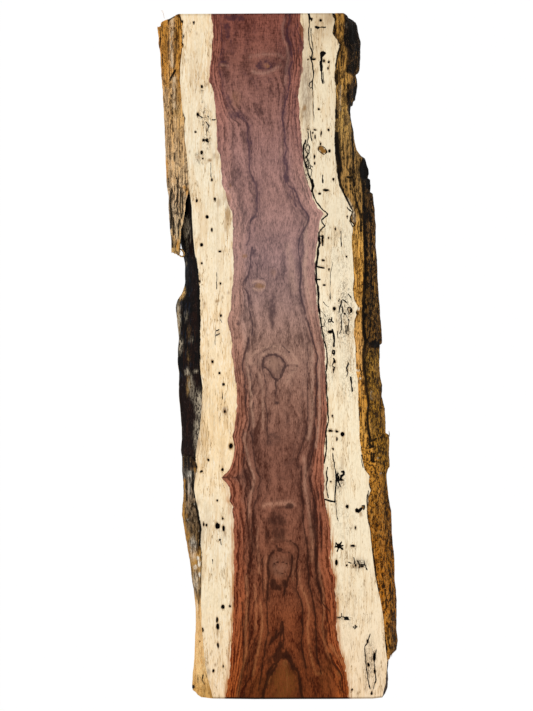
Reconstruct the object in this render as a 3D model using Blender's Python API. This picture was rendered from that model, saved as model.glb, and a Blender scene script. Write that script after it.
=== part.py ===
"""A live edge slab: a plain sawn board with waney sides, and three strips of bark along them.

The board lies on its wider sawn face. +Y runs along the grain to the far end, +X to the right,
+Z up, and the origin is at the middle of the underside.
"""

import bmesh
import bpy
import numpy as np

MM = 0.001

# Driving dimensions, in millimetres
LENGTH = 1830
THICKNESS = 52
CELLS_ALONG = 75  # sections the length is divided into
CELLS_UP = 4  # rows of faces up each waney side
CELLS_ACROSS = 6  # of the board, so that its ends follow the wandering saw cuts
BARK_GAP = 0.5  # across, which is about 0.3 square to the sloping side
BARK_LEAST = 6  # the thinnest that a strip gets, across
WANE_BULGE = 3.0  # the trunk's roundness between the two sawn faces
RIDGE_HEIGHT = 2.0  # of the long ridges on the bark's outside
RIDGE_COUNT = 2  # between its upper and lower edge
RIDGE_DRIFT = 90  # how far along before the ridges wander on

# Every outline below is (along, across) pairs from the near end to the far one, in millimetres.
# Both saw cuts through the trunk wander a little
NEAR_CUT = [(-330, -908), (-175, -912), (-60, -915), (140, -913), (300, -906)]
FAR_CUT = [(-330, 912), (0, 914), (330, 915)]

# The board's edges in its upper face, where the sapwood ends
UPPER_LEFT = [
    (-910, -176), (-825, -191), (-718, -203), (-585, -203), (-438, -207), (-331, -220),
    (-278, -219), (-198, -206), (-86, -198), (29, -207), (189, -207), (250, -215),
    (349, -226), (469, -236), (576, -248), (632, -248), (736, -259), (861, -252), (912, -259),
]
UPPER_RIGHT = [
    (-908, 277), (-878, 291), (-811, 293), (-758, 285), (-665, 277), (-531, 255),
    (-406, 241), (-345, 249), (-283, 229), (-225, 220), (-118, 217), (82, 207),
    (128, 215), (202, 205), (309, 200), (370, 195), (416, 181), (483, 161),
    (616, 156), (704, 160), (773, 157), (829, 168), (853, 152), (915, 149),
]

# The board's edges in its underside
LOWER_LEFT = [
    (-917, -220), (-785, -214), (-687, -214), (-555, -231), (-423, -250), (-285, -250),
    (-226, -260), (-94, -271), (5, -277), (71, -274), (137, -277), (170, -268),
    (208, -253), (269, -254), (334, -270), (483, -285), (631, -290), (763, -299), (911, -308),
]
LOWER_RIGHT = [
    (-906, 300), (-851, 303), (-785, 306), (-654, 305), (-555, 299), (-423, 291),
    (-324, 278), (-226, 282), (-94, 263), (38, 263), (170, 255), (384, 244),
    (499, 227), (532, 217), (560, 199), (598, 188), (664, 182), (763, 195), (839, 203), (908, 197),
]

# Each strip of bark: the side it is on, the sections that it runs between, the outer edge of its
# sawn face, its outermost line at the underside, how far it stands off the board at its upper
# edge, and how much further its outside runs at a broken end
BARK_RIGHT = {
    "side": 1,
    "sections": (4, 75),
    "upper": [
        (-798, 304), (-705, 299), (-625, 291), (-518, 277), (-438, 269), (-326, 264),
        (-225, 248), (-91, 243), (128, 237), (202, 232), (309, 227), (376, 216),
        (429, 203), (549, 192), (616, 184), (749, 189), (816, 192), (912, 184),
    ],
    "lower": [
        (-818, 324), (-785, 330), (-654, 328), (-555, 322), (-489, 314), (-423, 314),
        (-390, 305), (-324, 301), (-226, 305), (-160, 294), (-94, 286), (38, 286),
        (170, 278), (334, 267), (384, 267), (433, 261), (499, 250), (532, 242),
        (560, 218), (598, 209), (664, 201), (763, 218), (796, 226), (839, 226), (908, 218),
    ],
    "lift": [(0, 0)],
    "near_break": -9,
    "far_break": 0,
}
BARK_LEFT_UPPER = {
    "side": -1,
    "sections": (48, 75),
    "upper": [
        (269, -257), (389, -264), (469, -264), (629, -272), (709, -280), (789, -280), (907, -278),
    ],
    "lower": [
        (256, -279), (301, -288), (400, -296), (483, -304), (631, -309), (763, -318),
        (812, -319), (861, -327), (895, -330), (911, -327),
    ],
    "lift": [(256, 34), (282, 31), (322, 22), (368, 19), (402, 12), (450, 0)],
    "near_break": 14,
    "far_break": 0,
}
BARK_LEFT_LOWER = {
    "side": -1,
    "sections": (0, 26),
    "upper": [(-892, -200), (-785, -211), (-651, -215), (-505, -219), (-385, -230), (-278, -229)],
    "lower": [(-917, -230), (-785, -224), (-687, -224), (-555, -241), (-423, -260), (-285, -260)],
    "lift": [(0, 0)],
    "near_break": 0,
    "far_break": 12,
}

# Principled materials: colour and roughness of each piece
WOOD_COLOUR = (0.53, 0.36, 0.22, 1.0)
BARK_RIGHT_COLOUR = (0.10, 0.055, 0.025, 1.0)
BARK_UPPER_COLOUR = (0.38, 0.21, 0.07, 1.0)
BARK_LOWER_COLOUR = (0.46, 0.25, 0.08, 1.0)
WOOD_ROUGHNESS = 0.55
BARK_ROUGHNESS = 0.9


def across_at(outline, along):
    """Where an outline is across the board, at a place along it."""
    points = np.array(outline, float)
    return float(np.interp(along, points[:, 0], points[:, 1]))


def section_along(section):
    """Where a section stands along the board."""
    return -LENGTH / 2 + LENGTH * section / CELLS_ALONG


def cut_shift(across, along):
    """How far the wandering saw cuts move a point along the board."""
    share = (along + LENGTH / 2) / LENGTH
    near = across_at(NEAR_CUT, across) + LENGTH / 2
    far = across_at(FAR_CUT, across) - LENGTH / 2
    return near + (far - near) * share


def side_across(upper, lower, up, side):
    """A point on a waney side, between its lower and upper edge and a little rounded."""
    bulge = WANE_BULGE * 4 * up * (1 - up)
    return lower + (upper - lower) * up + side * bulge


def wood_side(side, along, up):
    """The board's own side, bare or under bark: side is -1 on the left and 1 on the right."""
    upper, lower = (UPPER_LEFT, LOWER_LEFT) if side < 0 else (UPPER_RIGHT, LOWER_RIGHT)
    return side_across(across_at(upper, along), across_at(lower, along), up, side)


def slab_shape(across_share, along, up):
    """The board: everything between its two waney sides."""
    left, right = wood_side(-1, along, up), wood_side(1, along, up)
    return left + (right - left) * across_share, along


def bark_shape(strip, across_share, along, up):
    """A strip of bark: from the board's side, or as far off it as the strip has lifted, outwards."""
    side = strip["side"]
    first, last = (section_along(section) for section in strip["sections"])
    lift = across_at(strip["lift"], along) * up
    inside = wood_side(side, along, up) + side * (BARK_GAP + lift)
    outside = side_across(across_at(strip["upper"], along), across_at(strip["lower"], along), up, side)
    wave = np.sin(np.pi * up) * np.cos(RIDGE_COUNT * 2 * np.pi * up + along / RIDGE_DRIFT)
    outside += side * RIDGE_HEIGHT * wave
    width = max(BARK_LEAST, side * (outside - inside))
    outwards = across_share if side > 0 else 1 - across_share
    end_shift = strip["near_break"] if along < first + 1 else strip["far_break"] if along > last - 1 else 0
    return inside + side * width * outwards, along + end_shift * outwards


def divided_block(cells_across, cells_along):
    """A cube from 0 to 1 along each axis, cut into cells."""
    block = bmesh.new()
    bmesh.ops.create_cube(block, size=1.0)
    bmesh.ops.translate(block, verts=block.verts, vec=(0.5, 0.5, 0.5))
    for axis, cells in enumerate((cells_across, cells_along, CELLS_UP)):
        for cell in range(1, cells):
            point, normal = [0.0, 0.0, 0.0], [0.0, 0.0, 0.0]
            point[axis], normal[axis] = cell / cells, 1.0
            geometry = block.verts[:] + block.edges[:] + block.faces[:]
            bmesh.ops.bisect_plane(block, geom=geometry, dist=1e-6, plane_co=point, plane_no=normal)
    return block


def make_material(name, colour, roughness):
    material = bpy.data.materials.new(name)
    material.use_nodes = True
    shader = material.node_tree.nodes["Principled BSDF"]
    shader.inputs["Base Color"].default_value = colour
    shader.inputs["Roughness"].default_value = roughness
    material.diffuse_color = colour
    return material


def make_piece(name, collection, material, cells_across, sections, shape):
    """A divided block with each vertex put in its place by the shape function."""
    first, last = sections
    block = divided_block(cells_across, last - first)
    for vertex in block.verts:
        across_share, along_share, up = vertex.co
        along = section_along(first + along_share * (last - first))
        across, shifted = shape(across_share, along, up)
        vertex.co = (across * MM, (shifted + cut_shift(across, along)) * MM, up * THICKNESS * MM)
    # The shorter diagonal in each cell, so that bark and board fold the same way where they meet
    bmesh.ops.triangulate(block, faces=block.faces, quad_method="SHORT_EDGE")
    bmesh.ops.recalc_face_normals(block, faces=block.faces)
    mesh = bpy.data.meshes.new(name)
    block.to_mesh(mesh)
    block.free()
    mesh.materials.append(material)
    piece = bpy.data.objects.new(name, mesh)
    collection.objects.link(piece)
    return piece


def make_slab(collection):
    material = make_material("sawn_wood", WOOD_COLOUR, WOOD_ROUGHNESS)
    return make_piece("slab", collection, material, CELLS_ACROSS, (0, CELLS_ALONG), slab_shape)


def make_bark(collection, name, strip, colour):
    def shape(across_share, along, up):
        return bark_shape(strip, across_share, along, up)

    material = make_material(name + "_bark", colour, BARK_ROUGHNESS)
    return make_piece(name, collection, material, 1, strip["sections"], shape)


def main():
    for old in list(bpy.data.objects):
        bpy.data.objects.remove(old)
    collection = bpy.data.collections.new("hormigo_live_edge_slab")
    bpy.context.scene.collection.children.link(collection)
    make_slab(collection)
    make_bark(collection, "bark_right", BARK_RIGHT, BARK_RIGHT_COLOUR)
    make_bark(collection, "bark_left_upper", BARK_LEFT_UPPER, BARK_UPPER_COLOUR)
    make_bark(collection, "bark_left_lower", BARK_LEFT_LOWER, BARK_LOWER_COLOUR)


main()
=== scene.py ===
from itertools import product

import bpy
import numpy as np
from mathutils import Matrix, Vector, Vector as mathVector


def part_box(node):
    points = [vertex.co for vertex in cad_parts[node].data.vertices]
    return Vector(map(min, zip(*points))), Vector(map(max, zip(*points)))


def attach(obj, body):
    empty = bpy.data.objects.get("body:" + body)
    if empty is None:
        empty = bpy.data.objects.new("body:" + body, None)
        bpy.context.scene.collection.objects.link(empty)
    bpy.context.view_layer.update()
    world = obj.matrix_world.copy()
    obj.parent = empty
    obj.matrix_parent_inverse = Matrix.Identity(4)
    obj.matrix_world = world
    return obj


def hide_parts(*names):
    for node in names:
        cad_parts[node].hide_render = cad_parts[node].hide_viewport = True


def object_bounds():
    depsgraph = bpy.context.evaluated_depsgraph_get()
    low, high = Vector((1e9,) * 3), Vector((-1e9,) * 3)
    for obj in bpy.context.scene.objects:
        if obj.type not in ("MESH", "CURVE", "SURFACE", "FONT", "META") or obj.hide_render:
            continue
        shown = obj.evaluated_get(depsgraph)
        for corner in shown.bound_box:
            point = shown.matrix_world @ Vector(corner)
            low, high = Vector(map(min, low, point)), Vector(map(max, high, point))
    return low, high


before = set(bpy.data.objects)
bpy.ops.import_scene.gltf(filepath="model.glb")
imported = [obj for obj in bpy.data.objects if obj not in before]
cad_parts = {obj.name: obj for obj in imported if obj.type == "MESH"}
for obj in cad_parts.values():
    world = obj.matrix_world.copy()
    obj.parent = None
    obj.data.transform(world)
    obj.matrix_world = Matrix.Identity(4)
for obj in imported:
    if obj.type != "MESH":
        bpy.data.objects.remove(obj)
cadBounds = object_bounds()

mm = 0.001
thickness = float(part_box("slab")[1][2])

# The photograph looks square on to the upper face: its pixel over the board's middle, what a pixel
# spans there, the pixel straight under the camera and the camera's height over the face
photo = {"middle": (277.05, 355.85), "pixel": 2.668 * mm, "under": (266.5, 355.5), "height": 1.805}


def onBoard(places):
    # Places read off the photograph, as metres across and along the upper face
    places = np.array(places, float)
    across = (places[..., 0] - photo["middle"][0]) * photo["pixel"]
    along = (photo["middle"][1] - places[..., 1]) * photo["pixel"]
    return np.stack((across, along), axis=-1)


def inPhoto(places):
    # Where in the photograph each place is seen: lower places lie nearer to its middle
    spread = 1 + (thickness - places[:, 2]) / photo["height"]
    off = (places[:, :2] - onBoard(photo["under"])) / photo["pixel"] / spread[:, None]
    return np.column_stack((photo["under"][0] + off[:, 0], photo["under"][1] - off[:, 1]))


def rowOf(along):
    # The photograph's row of a place along the board
    return photo["middle"][1] - along / photo["pixel"]


def valueAt(pairs, rows):
    return np.interp(rows, *np.array(pairs, float).T)


def linesOf(rows, settings, axes=2):
    # Each row has its settings first and then its points, which come first in the result
    return [(np.reshape(row[settings:], (-1, axes)).astype(float), *row[:settings]) for row in rows]


# Random fields, the same on each run

noise = {"values": 4096, "primes": (73856093, 19349663, 83492791)}


def drift(places, cells, seed):
    # Smooth random values from -1 to 1 that change over the given cell sizes
    dice = np.random.default_rng(seed).uniform(-1, 1, noise["values"])
    grid = places / np.array(cells)
    corner = np.floor(grid).astype(np.int64)
    part = grid - corner
    part = part * part * (3 - 2 * part)
    result = np.zeros(len(grid))
    for step in product((0, 1), repeat=grid.shape[1]):
        mixed = np.zeros(len(grid), np.int64)
        weight = np.ones(len(grid))
        for axis, prime in zip(range(grid.shape[1]), noise["primes"]):
            mixed ^= (corner[:, axis] + step[axis]) * prime
            weight *= part[:, axis] if step[axis] else 1 - part[:, axis]
        result += weight * dice[(mixed ^ (mixed >> 13)) & (noise["values"] - 1)]
    return result


def layeredDrift(places, cells, seed, layers=3, fade=0.5):
    # Several drifts, each with half the cell size and less height than the one before
    heights = fade ** np.arange(layers)
    result = np.zeros(len(places))
    for layer, height in enumerate(heights):
        result += height * drift(places, np.array(cells) / 2**layer, seed + layer)
    return result / heights.sum()


def smoothStep(low, high, value):
    share = np.clip((value - low) / (high - low), 0, 1)
    return share * share * (3 - 2 * share)


def toLine(places, line):
    # Distance from each place to the nearest point of a line through points
    near = np.full(len(places), np.inf)
    for start, end in zip(line[:-1], line[1:]):
        run = end - start
        share = np.clip(((places - start) @ run) / max(run @ run, 1e-12), 0, 1)
        near = np.minimum(near, np.hypot(*(places - start - share[:, None] * run).T))
    return near


# Working on a mesh with Blender's own tools


def makeActive(piece):
    bpy.ops.object.select_all(action="DESELECT")
    piece.select_set(True)
    bpy.context.view_layer.objects.active = piece


def addBlank(name, low, high):
    # A plain block, at its size and place
    bpy.ops.object.select_all(action="DESELECT")
    low, high = np.array(low), np.array(high)
    bpy.ops.mesh.primitive_cube_add(size=1, location=(low + high) / 2)
    piece = bpy.context.object
    piece.name = piece.data.name = name
    piece.scale = high - low
    bpy.ops.object.transform_apply(location=True, rotation=True, scale=True)
    return piece


def selectOnly(piece, edges=None, faces=None):
    makeActive(piece)
    mesh = piece.data
    bpy.context.tool_settings.mesh_select_mode = (False, edges is not None, faces is not None)
    mesh.vertices.foreach_set("select", np.zeros(len(mesh.vertices), bool))
    mesh.edges.foreach_set("select", np.zeros(len(mesh.edges), bool) if edges is None else edges)
    mesh.polygons.foreach_set("select", np.zeros(len(mesh.polygons), bool) if faces is None else faces)


def subdivideSelected(cuts):
    bpy.ops.object.mode_set(mode="EDIT")
    bpy.ops.mesh.subdivide(number_cuts=cuts)
    bpy.ops.object.mode_set(mode="OBJECT")


def vertexPlaces(piece):
    places = np.empty(len(piece.data.vertices) * 3)
    piece.data.vertices.foreach_get("co", places)
    return places.reshape(-1, 3)


def placeVertices(piece, places):
    piece.data.vertices.foreach_set("co", places.ravel())
    piece.data.update()


def cutEvenly(piece, axis, *cutsInTurn):
    # Cuts the block into even slices along one axis, in one or more goes
    for cuts in cutsInTurn:
        places = vertexPlaces(piece)
        ends = np.empty(len(piece.data.edges) * 2, int)
        piece.data.edges.foreach_get("vertices", ends)
        run = np.abs(places[ends[0::2]] - places[ends[1::2]])
        selectOnly(piece, edges=run.argmax(axis=1) == axis)
        subdivideSelected(cuts)


def faceFacts(piece):
    # Middles and normals of the faces
    mesh = piece.data
    middles, normals = np.empty(len(mesh.polygons) * 3), np.empty(len(mesh.polygons) * 3)
    mesh.polygons.foreach_get("center", middles)
    mesh.polygons.foreach_get("normal", normals)
    return middles.reshape(-1, 3), normals.reshape(-1, 3)


def setAttribute(piece, name, values):
    layer = piece.data.attributes.new(name, "FLOAT", "POINT")
    layer.data.foreach_set("value", np.asarray(values, np.float32))


def getAttribute(piece, name):
    values = np.empty(len(piece.data.vertices), np.float32)
    piece.data.attributes[name].data.foreach_get("value", values)
    return values.astype(float)


def smoothAndReport(piece, angle):
    makeActive(piece)
    bpy.ops.object.shade_smooth_by_angle(angle=np.radians(angle))
    print(piece.name, sum(len(face.vertices) - 2 for face in piece.data.polygons), "triangles")


# The frame's own shapes

reading = {"step": 24 * mm, "levels": 5, "inset": 0.2 * mm, "outside": 1}


def sidesOf(node, inFromEnds):
    # Where a CAD node's left and right sides are, at stations along it and levels up it
    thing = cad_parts[node]
    low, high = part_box(node)
    start, end = low[1] + inFromEnds, high[1] - inFromEnds
    stations = np.linspace(start, end, round((end - start) / reading["step"]) + 1)
    levels = np.linspace(reading["inset"], thickness - reading["inset"], reading["levels"])
    sides = np.empty((len(levels), len(stations), 2))
    for row, level in enumerate(levels):
        for column, station in enumerate(stations):
            fromLeft = thing.ray_cast((-reading["outside"], station, level), (1, 0, 0))[1]
            fromRight = thing.ray_cast((reading["outside"], station, level), (-1, 0, 0))[1]
            sides[row, column] = fromLeft.x, fromRight.x
    return {"start": start, "end": end, "sides": sides}


def sideAt(node, along, up):
    # Its left and right side at places along and shares up, on a smooth curve along
    sides = node["sides"]
    last, top = sides.shape[1] - 1, sides.shape[0] - 1
    spot = np.clip((along - node["start"]) / (node["end"] - node["start"]), 0, 1) * last
    station = np.minimum(spot.astype(int), last - 1)
    t = (spot - station)[:, None]
    rise = np.clip(up, 0, 1) * top
    level = np.minimum(rise.astype(int), top - 1)
    lift = (rise - level)[:, None]

    def row(index):
        index = np.clip(index, 0, last)
        return sides[level, index] * (1 - lift) + sides[level + 1, index] * lift

    before, here, beyond, after = row(station - 1), row(station), row(station + 1), row(station + 2)
    bend = 2 * here + (beyond - before) * t + (2 * before - 5 * here + 4 * beyond - after) * t**2
    return ((bend + (3 * here - before - 3 * beyond + after) * t**3) / 2).T


# Materials: the functions below add their nodes to the material that was made last

work = {"tree": None, "place": None}


def newMaterial(name, roughness, specular):
    material = bpy.data.materials.new(name)
    material.use_nodes = True
    shader = material.node_tree.nodes["Principled BSDF"]
    shader.inputs["Roughness"].default_value = roughness
    shader.inputs["Specular IOR Level"].default_value = specular
    work["tree"] = material.node_tree
    work["place"] = put("TexCoord").outputs["Object"]
    return material, shader


def put(kind, inputs=None, **settings):
    # One node, with its settings, and its inputs set or linked
    made = work["tree"].nodes.new("ShaderNode" + kind)
    for name, value in settings.items():
        setattr(made, name, value)
    for socket, value in (inputs or {}).items():
        if isinstance(value, bpy.types.NodeSocket):
            work["tree"].links.new(value, made.inputs[socket])
        else:
            made.inputs[socket].default_value = value
    return made


def calc(operation, first, *others):
    # Of one number, or of each next number with the result so far
    if not others:
        return put("Math", {0: first}, operation=operation).outputs[0]
    for other in others:
        first = put("Math", {0: first, 1: other}, operation=operation).outputs[0]
    return first


def plus(*values):
    return calc("ADD", *values)


def times(*values):
    return calc("MULTIPLY", *values)


def highest(*values):
    return calc("MAXIMUM", *values)


def without(value, share):
    return times(value, calc("SUBTRACT", 1.0, share))


def gap(first, second):
    return calc("ABSOLUTE", calc("SUBTRACT", first, second))


def swing(value, gain):
    # A noise about its middle, scaled
    return times(calc("SUBTRACT", value, 0.5), gain)


def limited(value):
    return put("Clamp", {"Value": value}).outputs[0]


def painted(name):
    return put("Attribute", attribute_name=name).outputs["Fac"]


def axesOf(place):
    return put("SeparateXYZ", {0: place}).outputs


def combined(*values):
    return put("CombineXYZ", dict(enumerate(values))).outputs[0]


def remap(value, low, high, toLow=0.0, toHigh=1.0, smooth=True):
    inputs = {"Value": value, "From Min": low, "From Max": high, "To Min": toLow, "To Max": toHigh}
    kind = "SMOOTHSTEP" if smooth else "LINEAR"
    return put("MapRange", inputs, interpolation_type=kind).outputs["Result"]


def grain(cells, detail=2.0, rough=0.5, warp=0.0, offset=(0, 0, 0), across=None):
    # Noise in cells of the given sizes: millimetres of the piece, or units of another field
    unit = mm if across is None else 1
    scale = [1 / (cell * unit) for cell in cells]
    place = work["place"] if across is None else across
    stretched = put("Mapping", {"Vector": place, "Scale": scale, "Location": offset})
    inputs = {"Vector": stretched.outputs[0], "Scale": 1.0, "Detail": detail, "Roughness": rough,
              "Distortion": warp}
    return put("TexNoise", inputs, noise_dimensions="3D").outputs["Fac"]


def tone(code):
    # A colour written as on a paint chart, in Blender's linear values
    parts = np.array([int(code[start:start + 2], 16) for start in (1, 3, 5)]) / 255
    linear = np.where(parts <= 0.04045, parts / 12.92, ((parts + 0.055) / 1.055) ** 2.4)
    return (*linear, 1.0)


def rampAlong(stops):
    # Colours that change along the board, from (photograph row, colour) pairs
    low, high = -0.92, 0.92  # just beyond the board's ends
    share = remap(axesOf(work["place"])[1], low, high, smooth=False)
    made = put("ValToRGB", {"Fac": share})
    elements = made.color_ramp.elements
    for index, (row, code) in enumerate(sorted(stops, reverse=True)):
        spot = ((photo["middle"][1] - row) * photo["pixel"] - low) / (high - low)
        element = elements[index] if index < 2 else elements.new(spot)
        element.position = spot
        element.color = tone(code)
    return made.outputs["Color"]


def asColour(value):
    # A colour is written as a code, as pairs of row and code, or comes from a node
    if isinstance(value, str):
        return tone(value)
    return rampAlong(value) if isinstance(value, list) else value


def mix(share, first, second, blend="MIX"):
    inputs = {0: share, 6: asColour(first), 7: asColour(second)}
    return put("Mix", inputs, data_type="RGBA", blend_type=blend, clamp_factor=True).outputs[2]


def covered(colour, *coats):
    # Coats of share and colour, one over the other
    for share, coat in coats:
        colour = mix(share, colour, coat)
    return colour


def finish(shader, colour, bumps, strength, depth):
    bump = put("Bump", {"Strength": strength, "Distance": depth, "Height": bumps})
    work["tree"].links.new(colour, shader.inputs["Base Color"])
    work["tree"].links.new(bump.outputs[0], shader.inputs["Normal"])


print("helpers ready")


# The board

board = {
    "length": 1830 * mm,
    "nearCut": [  # in mm
        (-330, -908.5), (-175, -914.5), (-60, -916), (140, -915.6), (255, -914.6), (300, -909),
    ],
    "farCut": [(-330, 912), (0, 914), (330, 915)],
    "endInset": 10 * mm,  # where its sides are read, from both ends
    "cutsAcross": 57,
    "cutsAlong": 80,
    "cutsUp": 3,
    "rimCell": 30 * mm,  # how the waney rim wanders
    "rimWander": 1.4 * mm,
    "rimFalloff": 6,  # how soon it fades towards the middle
    "rimReach": 12 * mm,  # at most, from the frame's own outline
    "waneRough": 2.6 * mm,  # of the bare waney sides
    "pith": 270 * mm,  # under the upper face
    "heartHalf": 128 * mm,  # usual half width of the heartwood in the upper face
    "holeDepth": 7 * mm,
    "lineDepth": 0.5 * mm,
    "seed": 11,
}

# Places are in the photograph's pixels. The upper face's own edges, against bark or bare wane: row, place
sapRims = {
    -1: [
        (14, 180), (22, 182), (33, 182.5), (46, 182.6), (65, 180.4), (80, 180), (105, 182), (113, 183),
        (119, 185), (125, 184.4), (140, 184.6), (155, 187), (180, 188.5), (190, 189.5), (205, 191.5),
        (225, 192.5), (240, 193.5), (255, 195), (262, 196.5), (272, 197.5), (285, 199), (300, 199.5),
        (320, 200), (345, 199.6), (360, 200), (375, 201), (388, 203), (400, 202), (430, 200), (445, 197),
        (460, 195), (468, 197.6), (475, 194.8), (490, 194.2), (505, 197), (520, 199.5), (530, 201),
        (545, 200), (565, 202), (575, 201.5), (600, 201), (625, 201.4), (640, 203), (655, 204.4),
        (665, 205.5), (675, 207), (683, 209), (690, 211), (699, 213),
    ],
    1: [
        (13, 332.4), (17, 333.6), (20, 335.4), (26, 334.2), (33, 333), (37, 335.4), (40, 338), (45, 340),
        (49, 339), (55, 337), (65, 335.6), (75, 335), (82, 335.4), (86, 336.4), (92, 335.8), (105, 335.6),
        (125, 335.2), (145, 335), (155, 336), (168, 337), (178, 338), (185, 339.6), (192, 342.4), (200, 346),
        (208, 350.2), (211, 352.6), (216, 350), (221, 350), (225, 353.4), (235, 352), (245, 351.5),
        (255, 353), (265, 353.5), (280, 354), (290, 353.5), (300, 355), (307, 358), (313, 357), (320, 354.5),
        (335, 354), (345, 355.5), (372, 356), (380, 358), (405, 358.5), (420, 359), (440, 359.5), (450, 361),
        (462, 362.5), (470, 365), (476, 369.6), (483, 368.6), (490, 371), (497, 368.4), (510, 367.6),
        (522, 369), (535, 370.5), (555, 372.5), (575, 375), (587, 377.5), (605, 381), (615, 383), (628, 384),
        (640, 384.4), (655, 386), (660, 387.5), (675, 386.5), (685, 386), (699, 382),
    ],
}
barkRows = [(12, 660, 1), (12, 190, -1), (478, 700, -1)]  # rows where bark covers a side
gapShadeRims = [  # rows where the border between sapwood and bark has a black line, partly the wood's own black edge and partly painted shade of the gap between them, and the side
    (108, 190, 1), (485, 525, 1), (283, 300, 1), (14, 90, 1), (455, 476, -1), (114, 122, -1), (258, 360, -1),
    (505, 560, -1),
]

# The heartwood's borders in the upper face, and the broad dark bands beside them: place, row
heartLeft = [
    (210.5, 12), (212.5, 25), (213, 35), (212, 50), (210.5, 62), (209.3, 75), (209.5, 82), (211.5, 88),
    (214, 93), (215, 105), (216, 115), (217, 130), (217.2, 149), (219.6, 153), (221, 160), (221.5, 175),
    (222, 185), (225.5, 193), (227.5, 200), (229, 206), (232.5, 212), (233, 230), (232.2, 248), (234, 262),
    (233.5, 270), (232.5, 285), (231.3, 302), (230.5, 310), (227, 320), (229, 328), (231.5, 337), (232, 355),
    (234, 370), (236.5, 385), (236.6, 405), (235.5, 420), (234, 430), (232.2, 437), (234.8, 447),
    (233.5, 457), (231, 467), (226, 473.5), (221, 478), (225, 481), (229.5, 488), (230.4, 495), (229, 501),
    (233, 506), (232, 510), (233.8, 520), (234, 550), (234, 600), (233, 618), (231.5, 645), (230.5, 660),
    (229.5, 675), (228, 685), (225.5, 699),
]
heartRight = [
    (300.5, 12), (300.3, 22), (303.5, 29), (304, 40), (303.5, 50), (302, 57), (303.3, 70), (300, 80),
    (298.5, 95), (299.5, 110), (299.5, 120), (301, 130), (302, 145), (303, 155), (304.5, 170), (307.5, 182),
    (311, 192), (313, 200), (318, 208), (325, 214.5), (321, 218), (320, 222), (318.7, 228), (317.5, 240),
    (316, 250), (314.5, 262), (315, 275), (316, 288), (317.5, 305), (319.5, 320), (321.5, 335), (325, 349),
    (325.6, 360), (325, 372), (326, 390), (327, 405), (327.5, 418), (325.4, 432), (325, 445), (324, 462),
    (324.3, 480), (324.8, 500), (326, 510), (328.5, 520), (330.5, 530), (331, 545), (330, 558), (331.5, 568),
    (335, 577), (334.5, 590), (336.5, 605), (336.5, 625), (338, 640), (340.5, 652), (344.5, 662),
    (346.5, 675), (348.5, 690), (349, 699),
]
bandLeft = [
    (220, 12), (222, 40), (219, 65), (222, 88), (229, 105), (238, 117), (247, 123), (248, 140), (249, 165),
    (254, 180), (256, 200), (255, 216), (250, 225), (249, 240), (250, 262), (248, 276), (243.5, 285),
    (248, 295), (250, 312), (252, 328), (247, 347), (243, 362), (245, 380), (246, 400), (249, 420),
    (245, 445), (244, 462), (249, 482), (248, 505), (251, 530), (251, 560), (249, 600), (249, 640),
    (247, 665), (241, 685), (239, 699),
]
bandRight = [
    (291, 12), (287, 35), (292, 55), (289, 72), (289, 90), (283, 118), (285, 135), (286, 150), (286, 178),
    (294, 190), (301, 205), (308, 217), (304, 230), (300, 240), (301, 268), (300, 290), (306, 316),
    (313, 343), (317.5, 360), (316, 380), (315.5, 410), (315, 435), (311, 460), (309.5, 480), (314, 500),
    (315, 530), (316, 570), (321, 592), (326, 607), (327, 640), (332, 662), (341, 676), (342, 699),
]
# How the growth rings rise and fall along the middle, which makes their arches
ringDrift = [
    (12, 0.05), (60, 0), (110, -0.12), (170, 0.06), (240, 0.1), (300, -0.05), (366, 0.1), (430, -0.1),
    (500, 0.05), (569, 0.15), (615, 0), (650, -0.35), (699, -0.75),
]
# Knots: middle, half width, half length and how far they push the rings
knots = [
    (264, 65, 8, 7, 0.1), (292.5, 197, 4, 8, 0.06), (260, 286, 6, 4, 0.1), (226, 62, 4, 5, 0.05),
    (274, 366, 12, 13, 0.3), (280.5, 569, 13, 19, 0.3),
]
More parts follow.
